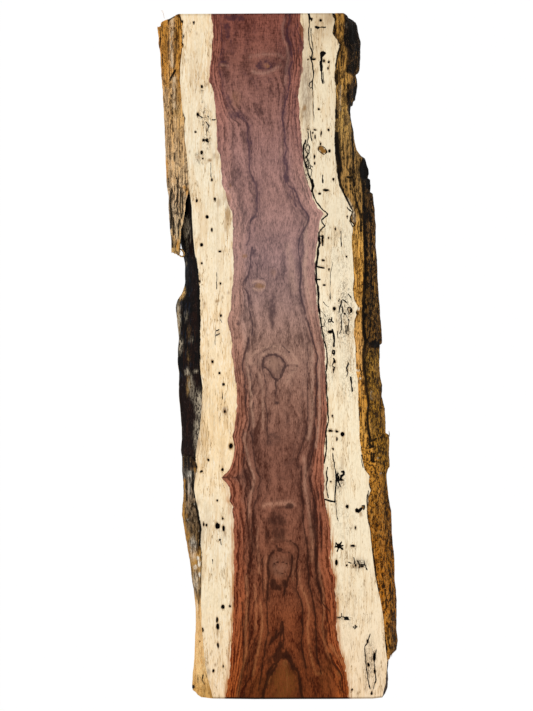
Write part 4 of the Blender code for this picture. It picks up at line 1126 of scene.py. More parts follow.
    # The bare waney sides
    lumps = grain((14, 26, 14), 4, 0.6)
    blots = grain((7, 22, 7), 4, 0.65, offset=(3, 1, 2))
    crisp = grain((3, 16, 4), 3, 0.65, warp=0.6, offset=(2, 6, 3))
    up = calc("DIVIDE", height, thickness)
    brownPart = highest(times(remap(lumps, 0.40, 0.58), remap(up, 0.45, 0.7)),
                        remap(along, -0.02, -0.08, 0, 0.9))
    palePart = times(painted("pale"), remap(crisp, 0.47, 0.53, 0.06, 1.1))
    # Dark cracks, and darker along the top of the waney side
    cracksAndTopBand = highest(remap(gap(blots, 0.48), 0.045, 0.01, 0, 0.85), remap(up, 0.84, 0.95, 0, 0.9))
    wane = covered(
        wood["charcoal"],
        (brownPart, wood["waneBrown"]),
        (times(remap(pores, 0.60, 0.68, 0, 0.4), remap(blots, 0.42, 0.58, 0.1, 1)), wood["waneSpeck"]),
        # A painted blue-grey sheen, a reflection on the black wane, lower down its side
        (times(remap(blots, 0.50, 0.66, 0, 0.9), remap(up, 0.8, 0.55), remap(along, -0.14, -0.04)),
         wood["waneBlueSheen"]),
        (times(remap(streaks, 0.50, 0.60, 0, 0.75), remap(up, 0.1, 0.4), remap(along, 0.18, 0.04, 0.15, 1)),
         wood["waneStreak"]),
        (times(remap(share, 0, 1, 0, 0.75), remap(blots, 0.40, 0.58), remap(up, 0.85, 0.5)),
         wood["waneBare"]),
        (times(painted("gold"), remap(crisp, 0.53, 0.47, 0.06, 1.1)), wood["waneGold"]),
        (palePart, wood["wanePale"]),
        (without(cracksAndTopBand, times(palePart, 0.8)), wood["inkAndShade"]))
    overRim = remap(painted("rim"), 0.3, -0.5)
    heights = plus(times(fibre, 0.25), times(pores, -0.2), times(lumps, overRim, 5.0))
    finish(shader, mix(overRim, sawn, wane), heights, 0.35, 0.8 * mm)
    return material


testBoard = makeBoard()
paintBoard(testBoard)
testBoard.data.materials.append(makeWood())
smoothAndReport(testBoard, 40)
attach(testBoard, "root")
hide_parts("slab")


# The three strips of bark

bark = {
    "cellAlong": 2.2 * mm,
    "cutsAcross": 17,
    "cutsUp": 11,
    "inset": 1.2 * mm,  # of the inner edge under the board's rim
    "endInset": 17 * mm,
    "rimReach": 24 * mm,  # at most, from the frame's own outline
    "rimSpread": 0.35,  # of a pixel, that the photograph takes off an edge
    "sunk": 0.12 * mm,  # under the sawn face
    "crackDepth": 1.6 * mm,
    "notchDepth": 3.0 * mm,
    "gapDepth": 3.5 * mm,
    "fibreSides": 5,
    "fibreCuts": 9,
    "fibreSteps": 59,
    "fibreRounds": 6,  # of smoothing
    "fibreTaper": 0.75,
    "fibreRise": 4 * mm,  # at most, over the sawn face
    "deepest": "#0b0705",
}
# In each strip, ends that are None are sawn with the board. The rim, the gap beside the board and the
# place where the crust begins are pairs of row and place; lines and soft places are as on the board
rightBark = {
    "node": "bark_right",
    "slot": "outer_bark",
    "side": 1,
    "seed": 41,
    "near": {"inner": 9 * mm, "outer": 0, "ragged": 9 * mm},
    "far": None,  # sawn with the board
    "relief": 1.7 * mm,
    "plates": 2.6 * mm,
    "rim": [
        (18, 352), (22, 355), (25.5, 356.6), (31, 357.4), (36, 358.8), (42, 360.3), (54, 360), (66, 359.4),
        (70.5, 359), (73.5, 357.6), (75, 355.4), (80, 356.6), (86, 357.2), (91, 356.6), (97, 355.4),
        (100.6, 354.8), (101.6, 353), (105.6, 352.5), (106.8, 350.3), (112, 350), (118, 350.6), (124, 351.6),
        (130, 352.8), (138, 354), (146, 355.2), (150, 356.4), (154, 359.4), (156, 361), (158, 364.2),
        (160, 365.4), (165, 366.6), (170, 368.2), (174, 368.6), (178, 367.4), (179.6, 369.6), (185, 370.2),
        (192, 369.8), (193.6, 372.4), (200, 373.2), (210, 374.4), (220, 374.8), (226, 375.6), (240, 375.2),
        (250, 375.6), (260, 376.8), (282, 377.6), (294, 378.3), (306, 379.3), (318, 380), (330, 381.2),
        (338, 381.8), (343.4, 381.6), (345, 379.5), (366, 379.1), (378, 380), (385, 381.8), (396, 381.4),
        (402, 382.6), (409, 384.6), (420, 385.2), (433, 385.4), (434.6, 388.4), (440, 389), (452, 388.7),
        (466.5, 389.4), (469, 387.6), (474, 386.2), (486, 387), (498, 388.2), (510, 390.8), (534, 391.6),
        (546, 392.6), (558, 394.2), (582, 394.4), (590, 395.6), (600, 396.4), (630, 396.2), (640, 397.4),
        (650, 396.2), (653, 393), (656, 391),
    ],
    "crustFrom": [
        (13, 343.5), (40, 343.5), (56, 347.5), (72, 347), (76, 354), (86, 347), (105, 346.5), (108, 349.2),
        (130, 350), (138, 352.4), (150, 354.6), (155, 357.4), (162, 357.8), (180, 358.6), (188, 362.6),
        (196, 366), (206, 364), (225, 363.8), (255, 364.6), (294, 364.6), (308, 363), (328, 363.2),
        (341, 365.4), (350, 367), (363, 363.8), (384, 367), (400, 369.4), (440, 372), (455, 376), (470, 381),
        (500, 386), (560, 388), (620, 391), (656, 392),
    ],
    "dark": [
        (13, "#452b10"), (60, "#4a3013"), (90, "#5e4220"), (120, "#6a502f"), (150, "#463316"),
        (170, "#2e1e0c"), (200, "#332209"), (240, "#6c4718"), (290, "#6e4412"), (350, "#6e481a"),
        (400, "#432608"), (460, "#432506"), (520, "#3c2004"), (600, "#452505"), (650, "#3a2008"),
    ],
    "light": [
        (13, "#9c6e30"), (60, "#ac7e3c"), (90, "#c6944a"), (120, "#bc9450"), (150, "#a27c48"),
        (200, "#b08448"), (240, "#eeb258"), (290, "#f0ae50"), (350, "#f2b466"), (400, "#d89436"),
        (430, "#e6a648"), (460, "#dc9636"), (520, "#a2641a"), (560, "#b8701c"), (600, "#c6781e"),
        (650, "#b0762c"),
    ],
    "crustDark": [
        (13, "#060403"), (100, "#0a0603"), (180, "#080502"), (225, "#120a05"), (300, "#110903"),
        (345, "#180e05"), (360, "#38250a"), (400, "#341e08"), (460, "#342107"), (500, "#281605"),
        (560, "#301b04"), (620, "#2e1a04"), (650, "#1e1104"),
    ],
    "crustLight": [
        (13, "#3a2a20"), (50, "#36261a"), (62, "#5a3e1e"), (100, "#543a1c"), (180, "#3e2b18"),
        (225, "#8a602e"), (300, "#75501f"), (345, "#7c5422"), (360, "#c08c36"), (400, "#b07c28"),
        (460, "#b07a26"), (520, "#965c12"), (600, "#ba7418"), (650, "#80541c"),
    ],
    "darkLines": [
        (0.9, 1, 332.6, 13.5, 335, 15, 335.3, 20, 334, 25, 335.4, 30, 333.6, 34, 335.4, 38.6), (0.8, 0.95,
        335.4, 38.6, 338, 41, 340.4, 44, 339.8, 50, 338.4, 54, 337, 60, 336.2, 66, 335.8, 74, 336.4, 86),
        (0.9, 0.8, 342, 40, 342.4, 50, 341, 60, 341.6, 66), (1, 0.8, 337.4, 70, 337.6, 84), (0.7, 0.6,
        345.4, 80, 345.8, 92, 345, 106, 345.6, 125), (0.5, 0.7, 336, 88, 336.2, 100, 336.6, 110, 336.2, 128,
        336.4, 134), (1.4, 1, 336.2, 111, 336.4, 118), (2.7, 1, 336.6, 134, 337, 143, 337.4, 152, 338.6, 160,
        339.6, 170), (1.9, 1, 339.4, 170, 338.6, 178, 340, 185, 342.6, 191), (1.1, 1, 342.6, 191, 346.5, 198,
        350, 206, 352.4, 211.5, 350, 217, 350.6, 221, 354, 225.6), (1.1, 0.95, 352.4, 133, 352.8, 150,
        353.2, 165, 353, 180, 354.2, 190, 355.8, 200, 358.4, 208, 361, 216, 361, 231), (1, 1, 347.2, 177.2,
        352.6, 177.6), (0.7, 0.75, 348.4, 139, 347.2, 146, 347.2, 156, 346.6, 168), (0.6, 0.5, 343.4, 133,
        343.8, 150, 344.4, 166, 345, 190, 348, 203), (0.7, 0.6, 357.6, 160, 357.4, 175, 359, 190, 360.6, 203),
        (1.7, 1, 363.4, 186, 363.8, 200, 364.4, 214, 364.8, 240, 365.2, 262, 365, 285, 363.4, 300, 363.4, 328,
        365.6, 341, 364, 352, 363.8, 364, 366, 384), (1.3, 0.95, 366, 384, 368.6, 402, 367.4, 420, 368.6, 433,
        371, 441), (1, 0.7, 369.6, 206, 371, 225, 370.4, 245, 371.6, 262, 371, 285), (0.7, 0.6, 367, 212,
        368, 230, 367.4, 250), (0.5, 0.5, 357.8, 240, 358, 262, 357.4, 290), (0.5, 0.5, 361, 318, 361.6, 345,
        360, 362), (1.4, 1, 370.4, 440, 369, 444, 371.6, 447), (1.1, 1, 376, 438.6, 373, 441, 373.6, 446,
        370, 447), (0.9, 1, 371.4, 453, 371, 461, 374.5, 462), (1.5, 1, 373.8, 454, 373.4, 460), (0.9, 0.9,
        362, 455, 362, 463, 364, 469, 368, 476), (0.8, 0.8, 374, 466, 376.5, 474, 378, 483), (0.6, 0.8,
        380, 437.6, 384.6, 437), (0.6, 0.7, 386.4, 437, 386, 450, 387.6, 462), (0.8, 0.6, 380.6, 400,
        380.6, 420, 384, 432), (0.6, 0.5, 374.6, 400, 374, 420), (0.8, 0.7, 369.4, 484, 369.6, 496),
        (0.7, 0.7, 369, 522, 370.6, 530, 371.8, 546), (0.8, 0.9, 372.4, 548, 374.6, 562, 376, 578,
        378.6, 592), (1.1, 0.8, 383.4, 625, 384.4, 636, 386.6, 650), (1, 0.7, 388.6, 626, 388, 640, 391, 652),
        (0.7, 0.6, 393, 630, 393.6, 645), (0.7, 0.5, 377, 500, 376.6, 520, 378, 540), (0.9, 0.55, 384, 500,
        385, 520, 386, 545, 388, 570), (0.9, 0.6, 390, 570, 390.6, 600, 391, 620),
    ],
    "darkSpots": [
        (352, 34, 5, 13, 0.8), (354, 69, 4, 6, 0.7), (355, 93, 2.4, 9, 0.9), (348.6, 96, 2, 7, 0.7),
        (349.2, 110, 1.2, 6, 0.8), (364, 169, 5, 11, 1.3), (368, 184, 2.4, 6, 1), (367.6, 217, 3, 9, 0.6),
        (374.5, 344.5, 6, 4.5, 1), (368.6, 381, 2, 5, 0.5), (371.6, 303, 2, 9, 0.4), (370, 326, 1.4, 5, 0.9),
        (356.5, 313.6, 1.4, 2.4, 1), (373, 391, 4, 3, 0.4), (381, 388, 1.4, 4, 0.7), (392, 515, 1.4, 30, 0.4),
        (384.6, 493, 3, 12, 0.5), (377.4, 372, 0.8, 5, 0.5),
    ],
    "goldLines": [
        (1, 0.6, 345.8, 49, 345.8, 58, 344.4, 67), (1.8, 0.5, 354.6, 228, 355.4, 245, 356.6, 262, 357, 290),
        (1.8, 0.6, 359.6, 296, 358.4, 306), (1.6, 0.7, 357, 318, 356.4, 332), (1.2, 0.7, 383, 410, 384, 425,
        384.6, 432), (1.4, 0.4, 362, 395, 363, 415, 363.6, 440), (0.8, 0.6, 387.6, 440, 388, 462), (0.8, 0.6,
        383.6, 352, 378.6, 366, 378.6, 376),
    ],
    "goldSpots": [
        (350.4, 79, 2.4, 5.5, 0.8), (375, 397, 4, 4, 0.4), (375, 368, 3, 4, 0.4), (372, 430, 4, 8, 0.35),
    ],
    "paleLines": [(1.2, 0.75, 347.6, 199, 351, 207, 354, 215, 354.4, 221), (0.8, 0.3, 340.6, 86, 340, 110)],
    "paleSpots": [
        (358.4, 308.6, 1.6, 2, 1), (357.4, 370.4, 2.6, 1.2, 1), (360, 378.6, 1.2, 1.2, 0.9),
        (367.6, 407.6, 0.8, 1, 0.9), (361.4, 458, 0.9, 4, 0.7), (351.6, 372, 0.8, 1.2, 0.6),
        (354, 38.4, 0.8, 0.8, 0.25), (346.4, 25, 0.7, 3, 0.12), (377.4, 458.6, 0.8, 0.8, 0.5),
        (380.8, 473.4, 0.8, 0.8, 0.6), (371.4, 392, 1, 1, 0.3), (371, 396, 0.8, 6, 0.3),
    ],
    "gold": "#c8934a",
    # the colour of the painted highlights in small specks
    "glint": "#e0b878",
    # how strong the painted shade in creases, hollows and pits is
    "pale": "#e9dcc3",
    "creaseShade": 1,
    "warm": 0.35,
    "fibre": (4.2, 38, 6),  # in mm
    "looseFibres": 60,
    "strands": [
        (1, 389.4, 437, 6, 389.4, 434, 7, 388.8, 430.6, 8), (1.2, 386.6, 650, 6, 388.6, 655, 6,
        389.4, 659, 5), (1, 391, 648, 6, 392, 653, 6, 391.6, 657, 5), (1.2, 384.6, 640, 20, 386, 650, 22,
        387.6, 656, 22),
    ],
}
leftUpperBark = {
    "node": "bark_left_upper",
    "slot": "fibrous_bark",
    "side": -1,
    "seed": 57,
    "near": {"inner": 16 * mm, "outer": 21 * mm, "ragged": 8 * mm},
    "far": None,
    "relief": 1.9 * mm,
    "plates": 1.4 * mm,
    "rim": [
        (17.5, 165), (20, 161.4), (26, 161), (27.4, 157.6), (31, 158.2), (38, 159.2), (44, 158.8),
        (47, 159.6), (51, 160.4), (60, 161.1), (70, 161.3), (80, 162), (90, 163), (100, 163.4), (110, 164),
        (120, 164.5), (130, 165), (150, 165.6), (170, 166.4), (180, 166.8), (187, 167.4), (192, 168.2),
        (197, 169), (205, 168.7), (212, 169.3), (220, 169.6), (230, 170.4), (236, 171.2), (243, 171.6),
        (249, 171.8),
    ],
    "innerGap": [
        (190, 0), (197, 1.4), (203, 2.2), (208, 1.8), (214, 1.6), (222, 2.1), (227, 3.4), (232, 4.4),
        (240, 4), (250, 3.8),
    ],
    "fibre": (3.4, 80, 6),
    "dark": [
        (14, "#442404"), (40, "#4c2806"), (80, "#5a3810"), (110, "#745028"), (150, "#745636"),
        (190, "#5c452c"), (230, "#352a1e"), (250, "#6a4a20"),
    ],
    "light": [
        (14, "#d89a4a"), (60, "#de9e50"), (80, "#dca868"), (110, "#e6b878"), (140, "#e0b680"),
        (170, "#e2bf90"), (200, "#f0cea4"), (230, "#d8bc90"), (250, "#d8b070"),
    ],
    "darkLines": [
        (0.6, 0.8, 161.8, 24, 162.5, 36), (0.8, 0.7, 160.6, 37, 159.8, 46), (0.6, 0.8, 162.2, 54, 162.6, 64),
        (0.8, 0.6, 168.2, 20, 168.6, 40, 168.2, 60, 169, 70), (0.6, 0.4, 165.8, 27, 166.4, 45, 166, 66),
        (0.7, 0.6, 171.4, 39, 172.4, 52), (0.8, 0.6, 174.8, 20, 174.6, 38, 175.6, 52, 175, 62, 173.4, 69),
        (1.1, 1, 170.6, 78, 172.4, 75.4, 175, 70.6), (0.7, 0.6, 165.2, 80, 165.4, 94), (0.75, 0.9, 170.6, 79,
        171.6, 88, 171.2, 100, 172.4, 104, 172.6, 116, 171.8, 121, 173.2, 132), (0.6, 0.5, 176, 86,
        175.6, 100, 176.2, 113), (0.8, 0.9, 179.6, 16, 180.8, 19.6, 182, 22.4), (0.8, 0.7, 180.2, 26,
        181.6, 31), (0.7, 0.8, 181.4, 33, 182.8, 37), (0.9, 0.9, 182, 43, 183.2, 45), (3, 0.3, 177.6, 84,
        178.6, 100, 178, 118, 179.4, 140, 179, 160), (0.7, 0.7, 182.6, 111, 184.4, 118), (0.6, 0.7,
        169.6, 100, 169.4, 118, 170.2, 128), (0.9, 0.6, 163.6, 96, 164.6, 102), (1.3, 0.8, 174, 16, 170, 18.4,
        168, 21), (0.5, 0.4, 178.6, 18, 178.4, 34, 179.6, 50), (1.1, 0.8, 174.4, 153, 174.6, 161), (0.9, 0.85,
        171.6, 171, 171.6, 176), (1, 0.75, 168.2, 178, 168, 187), (0.9, 0.75, 177, 178, 178, 190, 176.8, 202),
        (1, 0.75, 174, 194, 175, 208), (1.3, 0.85, 171.4, 190, 170.4, 204, 171.6, 215, 170.6, 228), (1, 0.75,
        181.2, 188, 180, 204, 181.4, 218), (0.8, 0.6, 178, 200, 177.4, 215), (1.2, 0.9, 173, 218, 174, 234),
        (0.9, 0.7, 171.6, 236, 172.4, 247), (1.1, 0.8, 179.4, 220, 178.2, 238), (0.9, 0.7, 187, 183,
        186.6, 190), (0.8, 0.7, 182.6, 196, 182, 216), (0.5, 0.4, 170.6, 130, 171.2, 150), (0.6, 0.4,
        179.6, 130, 181, 150, 181.6, 175), (0.7, 0.7, 176.4, 240, 175.6, 248),
    ],
    "darkSpots": [
        (170, 17, 2.4, 1.6, 0.8), (182, 21, 1.2, 1.6, 1), (183.4, 44.4, 1, 1, 1),
        (175.6, 177.8, 1.2, 1.5, 0.9), (183, 193, 1.4, 3, 0.5), (171, 240, 1, 3, 0.5),
        (178, 208, 2.4, 10, 0.4),
    ],
    "goldLines": [
        (2.2, 0.75, 164.4, 22, 165, 45, 165, 62, 164.4, 76), (2, 0.6, 178, 18, 178.4, 40, 177.6, 60, 177, 72),
        (1.5, 0.75, 179.4, 76, 179.6, 100), (1.3, 0.6, 167, 80, 167.6, 92), (0.8, 0.9, 167, 158, 167, 178),
        (1.5, 0.9, 184.6, 187, 187.4, 190, 187, 194), (1.3, 0.95, 177.4, 240, 178, 248), (0.9, 0.7, 173, 228,
        174, 240), (1.6, 0.6, 160, 28, 159.6, 32),
    ],
    "goldSpots": [(186.5, 188, 1.6, 2.4, 0.6)],
    "paleLines": [
        (1.7, 0.95, 171.8, 19, 172, 30, 171, 42, 171.4, 55, 172.4, 66), (1.8, 0.9, 174.2, 78, 173.6, 92,
        174.6, 108), (0.9, 1, 173.4, 205, 173, 212, 174, 220), (1.2, 0.6, 176.4, 216, 176, 230, 176.8, 240),
        (2.2, 0.5, 166.2, 90, 166.6, 125, 167.4, 158), (1.8, 0.35, 175, 118, 176.4, 140, 175.6, 165),
        (1.2, 0.4, 170, 140, 170.6, 168), (0.7, 0.3, 183, 125, 184, 150, 186.6, 175), (0.7, 0.4, 169.4, 184,
        170, 200),
    ],
    "paleSpots": [(163, 77, 1, 3, 0.4), (177.4, 46, 1, 5, 0.2)],
    "gold": "#c0822c",
    # the colour of the painted highlights in small specks
    "glint": "#e0b888",
    "pale": "#cdb391",
    "creaseShade": 0.9,
    "warm": 0.38,
    "looseFibres": 190,
    "strands": [
        (0.45, 162.4, 10.8, 45, 163.2, 13, 46, 163.8, 16, 46, 164.4, 19, 44), (0.4, 161, 10.6, 44,
        163, 11.2, 45), (0.9, 157, 26.6, 8, 159, 27.4, 10, 161.5, 28, 12), (0.7, 157.2, 28.6, 8,
        159.5, 29.6, 10, 161, 31, 12), (0.7, 158.4, 42, 10, 159.4, 45, 12, 160.6, 49, 14), (0.8, 158.6, 44, 8,
        159, 40, 10, 160.6, 36, 12), (2.3, 176.4, 243.6, 40, 177.6, 248, 42, 181, 249.2, 44, 183.6, 251.6, 44,
        184.6, 254.6, 40, 182.6, 257.2, 36, 179.4, 255.8, 34, 178.4, 252.6, 36, 180.6, 251.4, 40), (2,
        176, 242, 30, 177, 247, 30, 179.6, 250.6, 32, 179.4, 254.6, 30), (1.4, 172, 240, 16, 172.4, 246, 18,
        174, 249.6, 20), (0.9, 171.6, 246, 8, 172.6, 251, 9),
    ],
}
leftLowerBark = {
    "node": "bark_left_lower",
    "slot": "inner_bark",
    "side": -1,
    "seed": 73,
    "near": None,
    "far": {"inner": 12 * mm, "outer": 0, "ragged": 10 * mm},
    "relief": 1.0 * mm,
    "plates": 1.2 * mm,
    "rim": [
        (470, 182.4), (482, 183.4), (490, 184), (500, 183.6), (508, 182.6), (515, 182.2), (520, 183.2),
        (530, 184.8), (540, 186.4), (550, 188.2), (560, 190), (570, 191.4), (580, 192.2), (590, 194),
        (600, 195), (610, 196), (620, 196.2), (630, 196), (637, 195.4), (655, 194.8), (667, 194),
        (672, 193.2), (680, 192.8), (687, 192.3),
    ],
    "dark": [
        (455, "#0d0907"), (468, "#120d0a"), (477, "#241c16"), (500, "#2c1f10"), (545, "#3a2814"),
        (556, "#6a4516"), (590, "#5c452a"), (602, "#c39458"), (640, "#dcaa6a"), (672, "#e0ab68"),
        (692, "#b08040"),
    ],
    "light": [
        (455, "#241913"), (468, "#33251b"), (477, "#8b8072"), (500, "#947b60"), (520, "#7d664c"),
        (545, "#83643a"), (556, "#b98a48"), (575, "#b9945e"), (595, "#b29672"), (604, "#e8bc80"),
        (630, "#f2c488"), (670, "#fad090"), (692, "#dcaa62"),
    ],
    "darkLines": [
        (1.3, 0.9, 192.5, 472, 193, 485, 194.6, 497), (1.3, 0.85, 196.8, 499, 195.8, 507, 197.4, 511,
        198.6, 518, 200, 525, 200.4, 532, 199.8, 545), (1.1, 0.7, 187, 472, 186, 485, 187, 500), (0.9, 0.7,
        190, 473, 190.4, 484), (0.8, 0.6, 190, 503, 190, 520, 192, 536), (0.9, 0.6, 201, 553, 201.4, 570,
        200, 585, 201, 598), (0.7, 0.6, 194, 573, 196, 588, 197.4, 600), (0.8, 0.85, 198, 676, 198.4, 683),
        (0.7, 0.85, 203, 675, 202, 680, 204.4, 684), (0.6, 0.5, 193.6, 512, 194, 530, 196, 545), (0.8, 0.7,
        199.4, 590, 198.6, 604), (0.6, 0.6, 205, 672, 207, 678),
    ],
    "darkSpots": [
        (187, 458, 5, 5, 0.5), (193, 687, 1.8, 2.2, 1), (200, 641.6, 0.9, 1, 0.8),
        (196.4, 682, 0.8, 0.9, 0.7), (197, 688, 0.9, 0.8, 0.6), (196, 508, 3, 7, 0.4),
        (200.6, 686, 0.7, 0.7, 0.5), (195.6, 676, 0.6, 0.7, 0.5), (191.4, 688.4, 1.4, 1, 0.8),
    ],
    "goldLines": [
        (1.2, 0.9, 184.6, 480, 184.4, 500, 183.4, 512, 185.2, 530, 187, 544, 189, 556), (1.2, 0.6, 195, 469,
        196, 478),
    ],
    "goldSpots": [
        (194, 554, 4, 3, 0.8), (194.6, 566, 4, 5, 0.55), (188, 536, 1.6, 5, 0.6), (187.4, 516, 1, 4, 0.4),
    ],
    "paleLines": [],
    "paleSpots": [
        (197.6, 558, 1.8, 2.2, 1), (199.2, 563.4, 1.5, 3.6, 1.1), (195.2, 567, 2, 2.4, 0.9),
        (199.6, 574.4, 1.2, 2.6, 1.1), (196, 580, 3, 10, 0.45), (193, 548, 4, 12, 0.45),
        (190, 474, 4, 3, 0.8), (194.6, 504, 0.7, 0.9, 0.7), (199, 531, 0.7, 0.7, 0.7),
        (191, 538.5, 0.9, 0.9, 0.7), (187.6, 520, 0.7, 1.6, 0.5), (192, 545, 0.8, 2, 0.4),
        (194, 548, 0.8, 0.8, 0.5), (189, 488, 1.2, 7, 0.35), (197.6, 606, 1.4, 7, 0.3),
    ],
    "gold": "#bb8434",
    # the colour of the painted highlights in small specks
    "glint": "#e6cfa2",
    "pale": "#eee3cf",
    "creaseShade": 0.4,
    "warm": 0.12,
    "fibre": (4.2, 38, 6),
    "looseFibres": 40,
    "strands": [],
}


def seenRim(strip, sides, rows):
    # How far across the photograph the plain strip reaches at each row
    along = (photo["middle"][1] - rows) * photo["pixel"]
    furthest = np.full(len(rows), -np.inf)
    for up in np.linspace(0, 1, 5):
        outside = sideAt(sides, along, np.full(len(rows), up))[::strip["side"]][1]
        places = np.column_stack((outside, along, np.full(len(rows), up * thickness)))
        furthest = np.maximum(furthest, strip["side"] * inPhoto(places)[:, 0])
    return strip["side"] * furthest


def shapeBark(strip, piece):
    low, high = (np.array(corner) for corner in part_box(strip["node"]))
    sides = sidesOf(strip["node"], bark["endInset"])
    side, seed = strip["side"], strip["seed"]
    shares = np.clip((vertexPlaces(piece) - low) / (high - low), 0, 1)
    up = shares[:, 2]
    out = shares[:, 0] if side > 0 else 1 - shares[:, 0]
    # The two ends: sawn with the board, or broken off
    across = shares[:, 0] * (high[0] - low[0]) + low[0]
    ends = []
    for end, cut, limit, inward in (("near", "nearCut", low[1], 1), ("far", "farCut", high[1], -1)):
        torn = strip[end]
        if torn is None:
            ends.append(np.interp(across, *np.array(board[cut]).T * mm))
        else:
            slant = torn["inner"] * (1 - out) + torn["outer"] * out
            jags = layeredDrift(shares[:, [0, 2]], (0.3, 0.22), seed, 3, 0.7)
            ends.append(limit + inward * (slant + torn["ragged"] * (0.5 + jags).clip(0, 1.2)))
    along = ends[0] + (ends[1] - ends[0]) * shares[:, 1]
    inside, outside = sideAt(sides, along, up)[::side]
    places = np.column_stack((inside + (outside - inside) * out, along, up * thickness))
    places[:, 0] += side * (rimShift(along, side) - bark["inset"] * (out < 0.01) * (up > 0.5))
    # The outline as it is in the photograph, with its steps
    rows = inPhoto(places)[:, 1]
    ragged = 0.4 * layeredDrift(places[:, [1, 2]], (16 * mm, 30 * mm), seed + 1, 4, 0.7)
    wanted = valueAt(strip["rim"], rows) + ragged + bark["rimSpread"] * side
    shift = (wanted - seenRim(strip, sides, rows)) * photo["pixel"] - side * rimShift(along, side)
    places[:, 0] += np.clip(shift, -bark["rimReach"], bark["rimReach"]) * out**1.5 * (1 - 0.35 * up)
    if "innerGap" in strip:
        places[:, 0] += side * valueAt(strip["innerGap"], rows) * photo["pixel"] * (1 - out) ** 2
    # Ridges and plates on the outside, cracks and gaps in the sawn face
    seen = inPhoto(places)
    crust = np.zeros(len(places))
    if "crustFrom" in strip:
        wander = 0.9 * layeredDrift(places, (9 * mm, 16 * mm, 12 * mm), seed + 9, 3, 0.6)
        crust = smoothStep(-0.8, 0.8, seen[:, 0] - valueAt(strip["crustFrom"], seen[:, 1]) + wander)
    relief = layeredDrift(places, (7 * mm, 60 * mm, 9 * mm), seed + 20, 4, 0.62)
    plates = layeredDrift(places, (20 * mm, 30 * mm, 22 * mm), seed + 30, 4, 0.6)
    dark = np.maximum(softLines(seen, strip["darkLines"]), softSpots(seen, strip["darkSpots"]))
    raised = strip["relief"] * relief + strip["plates"] * plates * (0.35 + 0.65 * crust)
    skin = smoothStep(0.25, 1, out)
    places[:, 0] += side * raised * skin
    sunk = bark["crackDepth"] * (np.maximum(-relief, 0) + (0.6 - plates) * crust) + bark["gapDepth"] * dark
    sunk *= smoothStep(0.02, 0.2, out)
    places[:, 2] -= (bark["sunk"] + sunk) * smoothStep(0.7, 1, up)
    places[:, 0] -= side * bark["notchDepth"] * dark * skin * smoothStep(1, 0.9, up)
    places[:, 2] = np.clip(places[:, 2], 0, thickness)
    # Brought out so that the furthest place at each station lies on the outline
    seen = inPhoto(places)
    miss = side * (valueAt(strip["rim"], seen[:, 1]) + bark["rimSpread"] * side - seen[:, 0]) + ragged
    station = np.unique(np.round(shares[:, 1], 4), return_inverse=True)[1]
    least = np.full(station.max() + 1, np.inf)
    np.minimum.at(least, station, miss)
    places[:, 0] += side * np.clip(least[station], -6, 6) * photo["pixel"] * out**1.5
    placeVertices(piece, places)
    return crust, relief


def looseFibres(strip):
    # Short fibres at random along the strip, after those with a place of their own
    dice = np.random.default_rng(strip["seed"])
    fibres = linesOf(strip["strands"], 1, 3)
    rims = np.array(strip["rim"], float)
    steps = np.array((0, 0.35, 0.7, 1))
    for fibre in range(strip["looseFibres"]):
        row = dice.uniform(rims[0, 0] + 3, rims[-1, 0] - 3)
        inset = strip["side"] * dice.uniform(0.9, 3.6)
        height = dice.uniform(2, 38)
        length = dice.uniform(3, 13)
        lean = strip["side"] * dice.uniform(-0.06, 0.06)
        bend = dice.uniform(-0.5, 0.5)
        rows = row + (steps - 0.5) * length
        x = valueAt(rims, rows) - inset + lean * steps * length + bend * np.sin(3 * steps)
        fibres.append((np.column_stack((x, rows, np.full(4, height))), dice.uniform(0.35, 0.9)))
    return fibres


def spaced(line, spots):
    # Places at spots along a line, counted in its points
    return np.column_stack([np.interp(spots, range(len(line)), values) for values in line.T])


def makeFibres(strip, name):
    # A thin prism, repeated, and each copy laid along its own way
    fibres = looseFibres(strip)
    bpy.ops.object.select_all(action="DESELECT")
    bpy.ops.mesh.primitive_cylinder_add(
        vertices=bark["fibreSides"], radius=1, depth=1, end_fill_type="NGON")
    piece = bpy.context.object
    piece.name = piece.data.name = name
    cutEvenly(piece, 2, bark["fibreCuts"])
    onePlaces = vertexPlaces(piece)
    array = piece.modifiers.new("copies", "ARRAY")
    array.count = len(fibres)
    array.merge_threshold = 0
    bpy.ops.object.modifier_apply(modifier=array.name)
    share = onePlaces[:, 2] + 0.5
    under, last = np.array(photo["under"]), bark["fibreSteps"]
    places = np.empty((len(fibres), len(onePlaces), 3))
    for index, (points, radius) in enumerate(fibres):
        spread = 1 + (thickness - points[:, 2] * mm) / photo["height"]
        way = np.column_stack((onBoard(under + (points[:, :2] - under) * spread[:, None]), points[:, 2] * mm))
        smooth = spaced(way, np.linspace(0, len(way) - 1, last + 1))
        for turn in range(bark["fibreRounds"]):
            smooth[1:-1] = (smooth[:-2] + 2 * smooth[1:-1] + smooth[2:]) / 4
        run = spaced(np.gradient(smooth, axis=0), share * last)
        run /= np.linalg.norm(run, axis=1)[:, None]
        aside = np.cross((0, 0, 1.0), run)
        aside /= np.linalg.norm(aside, axis=1)[:, None]
        thick = (radius * mm * (1 - bark["fibreTaper"] * np.abs(2 * share - 1) ** 3))[:, None]
        places[index] = spaced(smooth, share * last) + thick * (
            onePlaces[:, :1] * aside + onePlaces[:, 1:2] * np.cross(run, aside))
    places[..., 2] = np.clip(places[..., 2], 0, thickness + bark["fibreRise"])
    placeVertices(piece, places.reshape(-1, 3))
    return piece


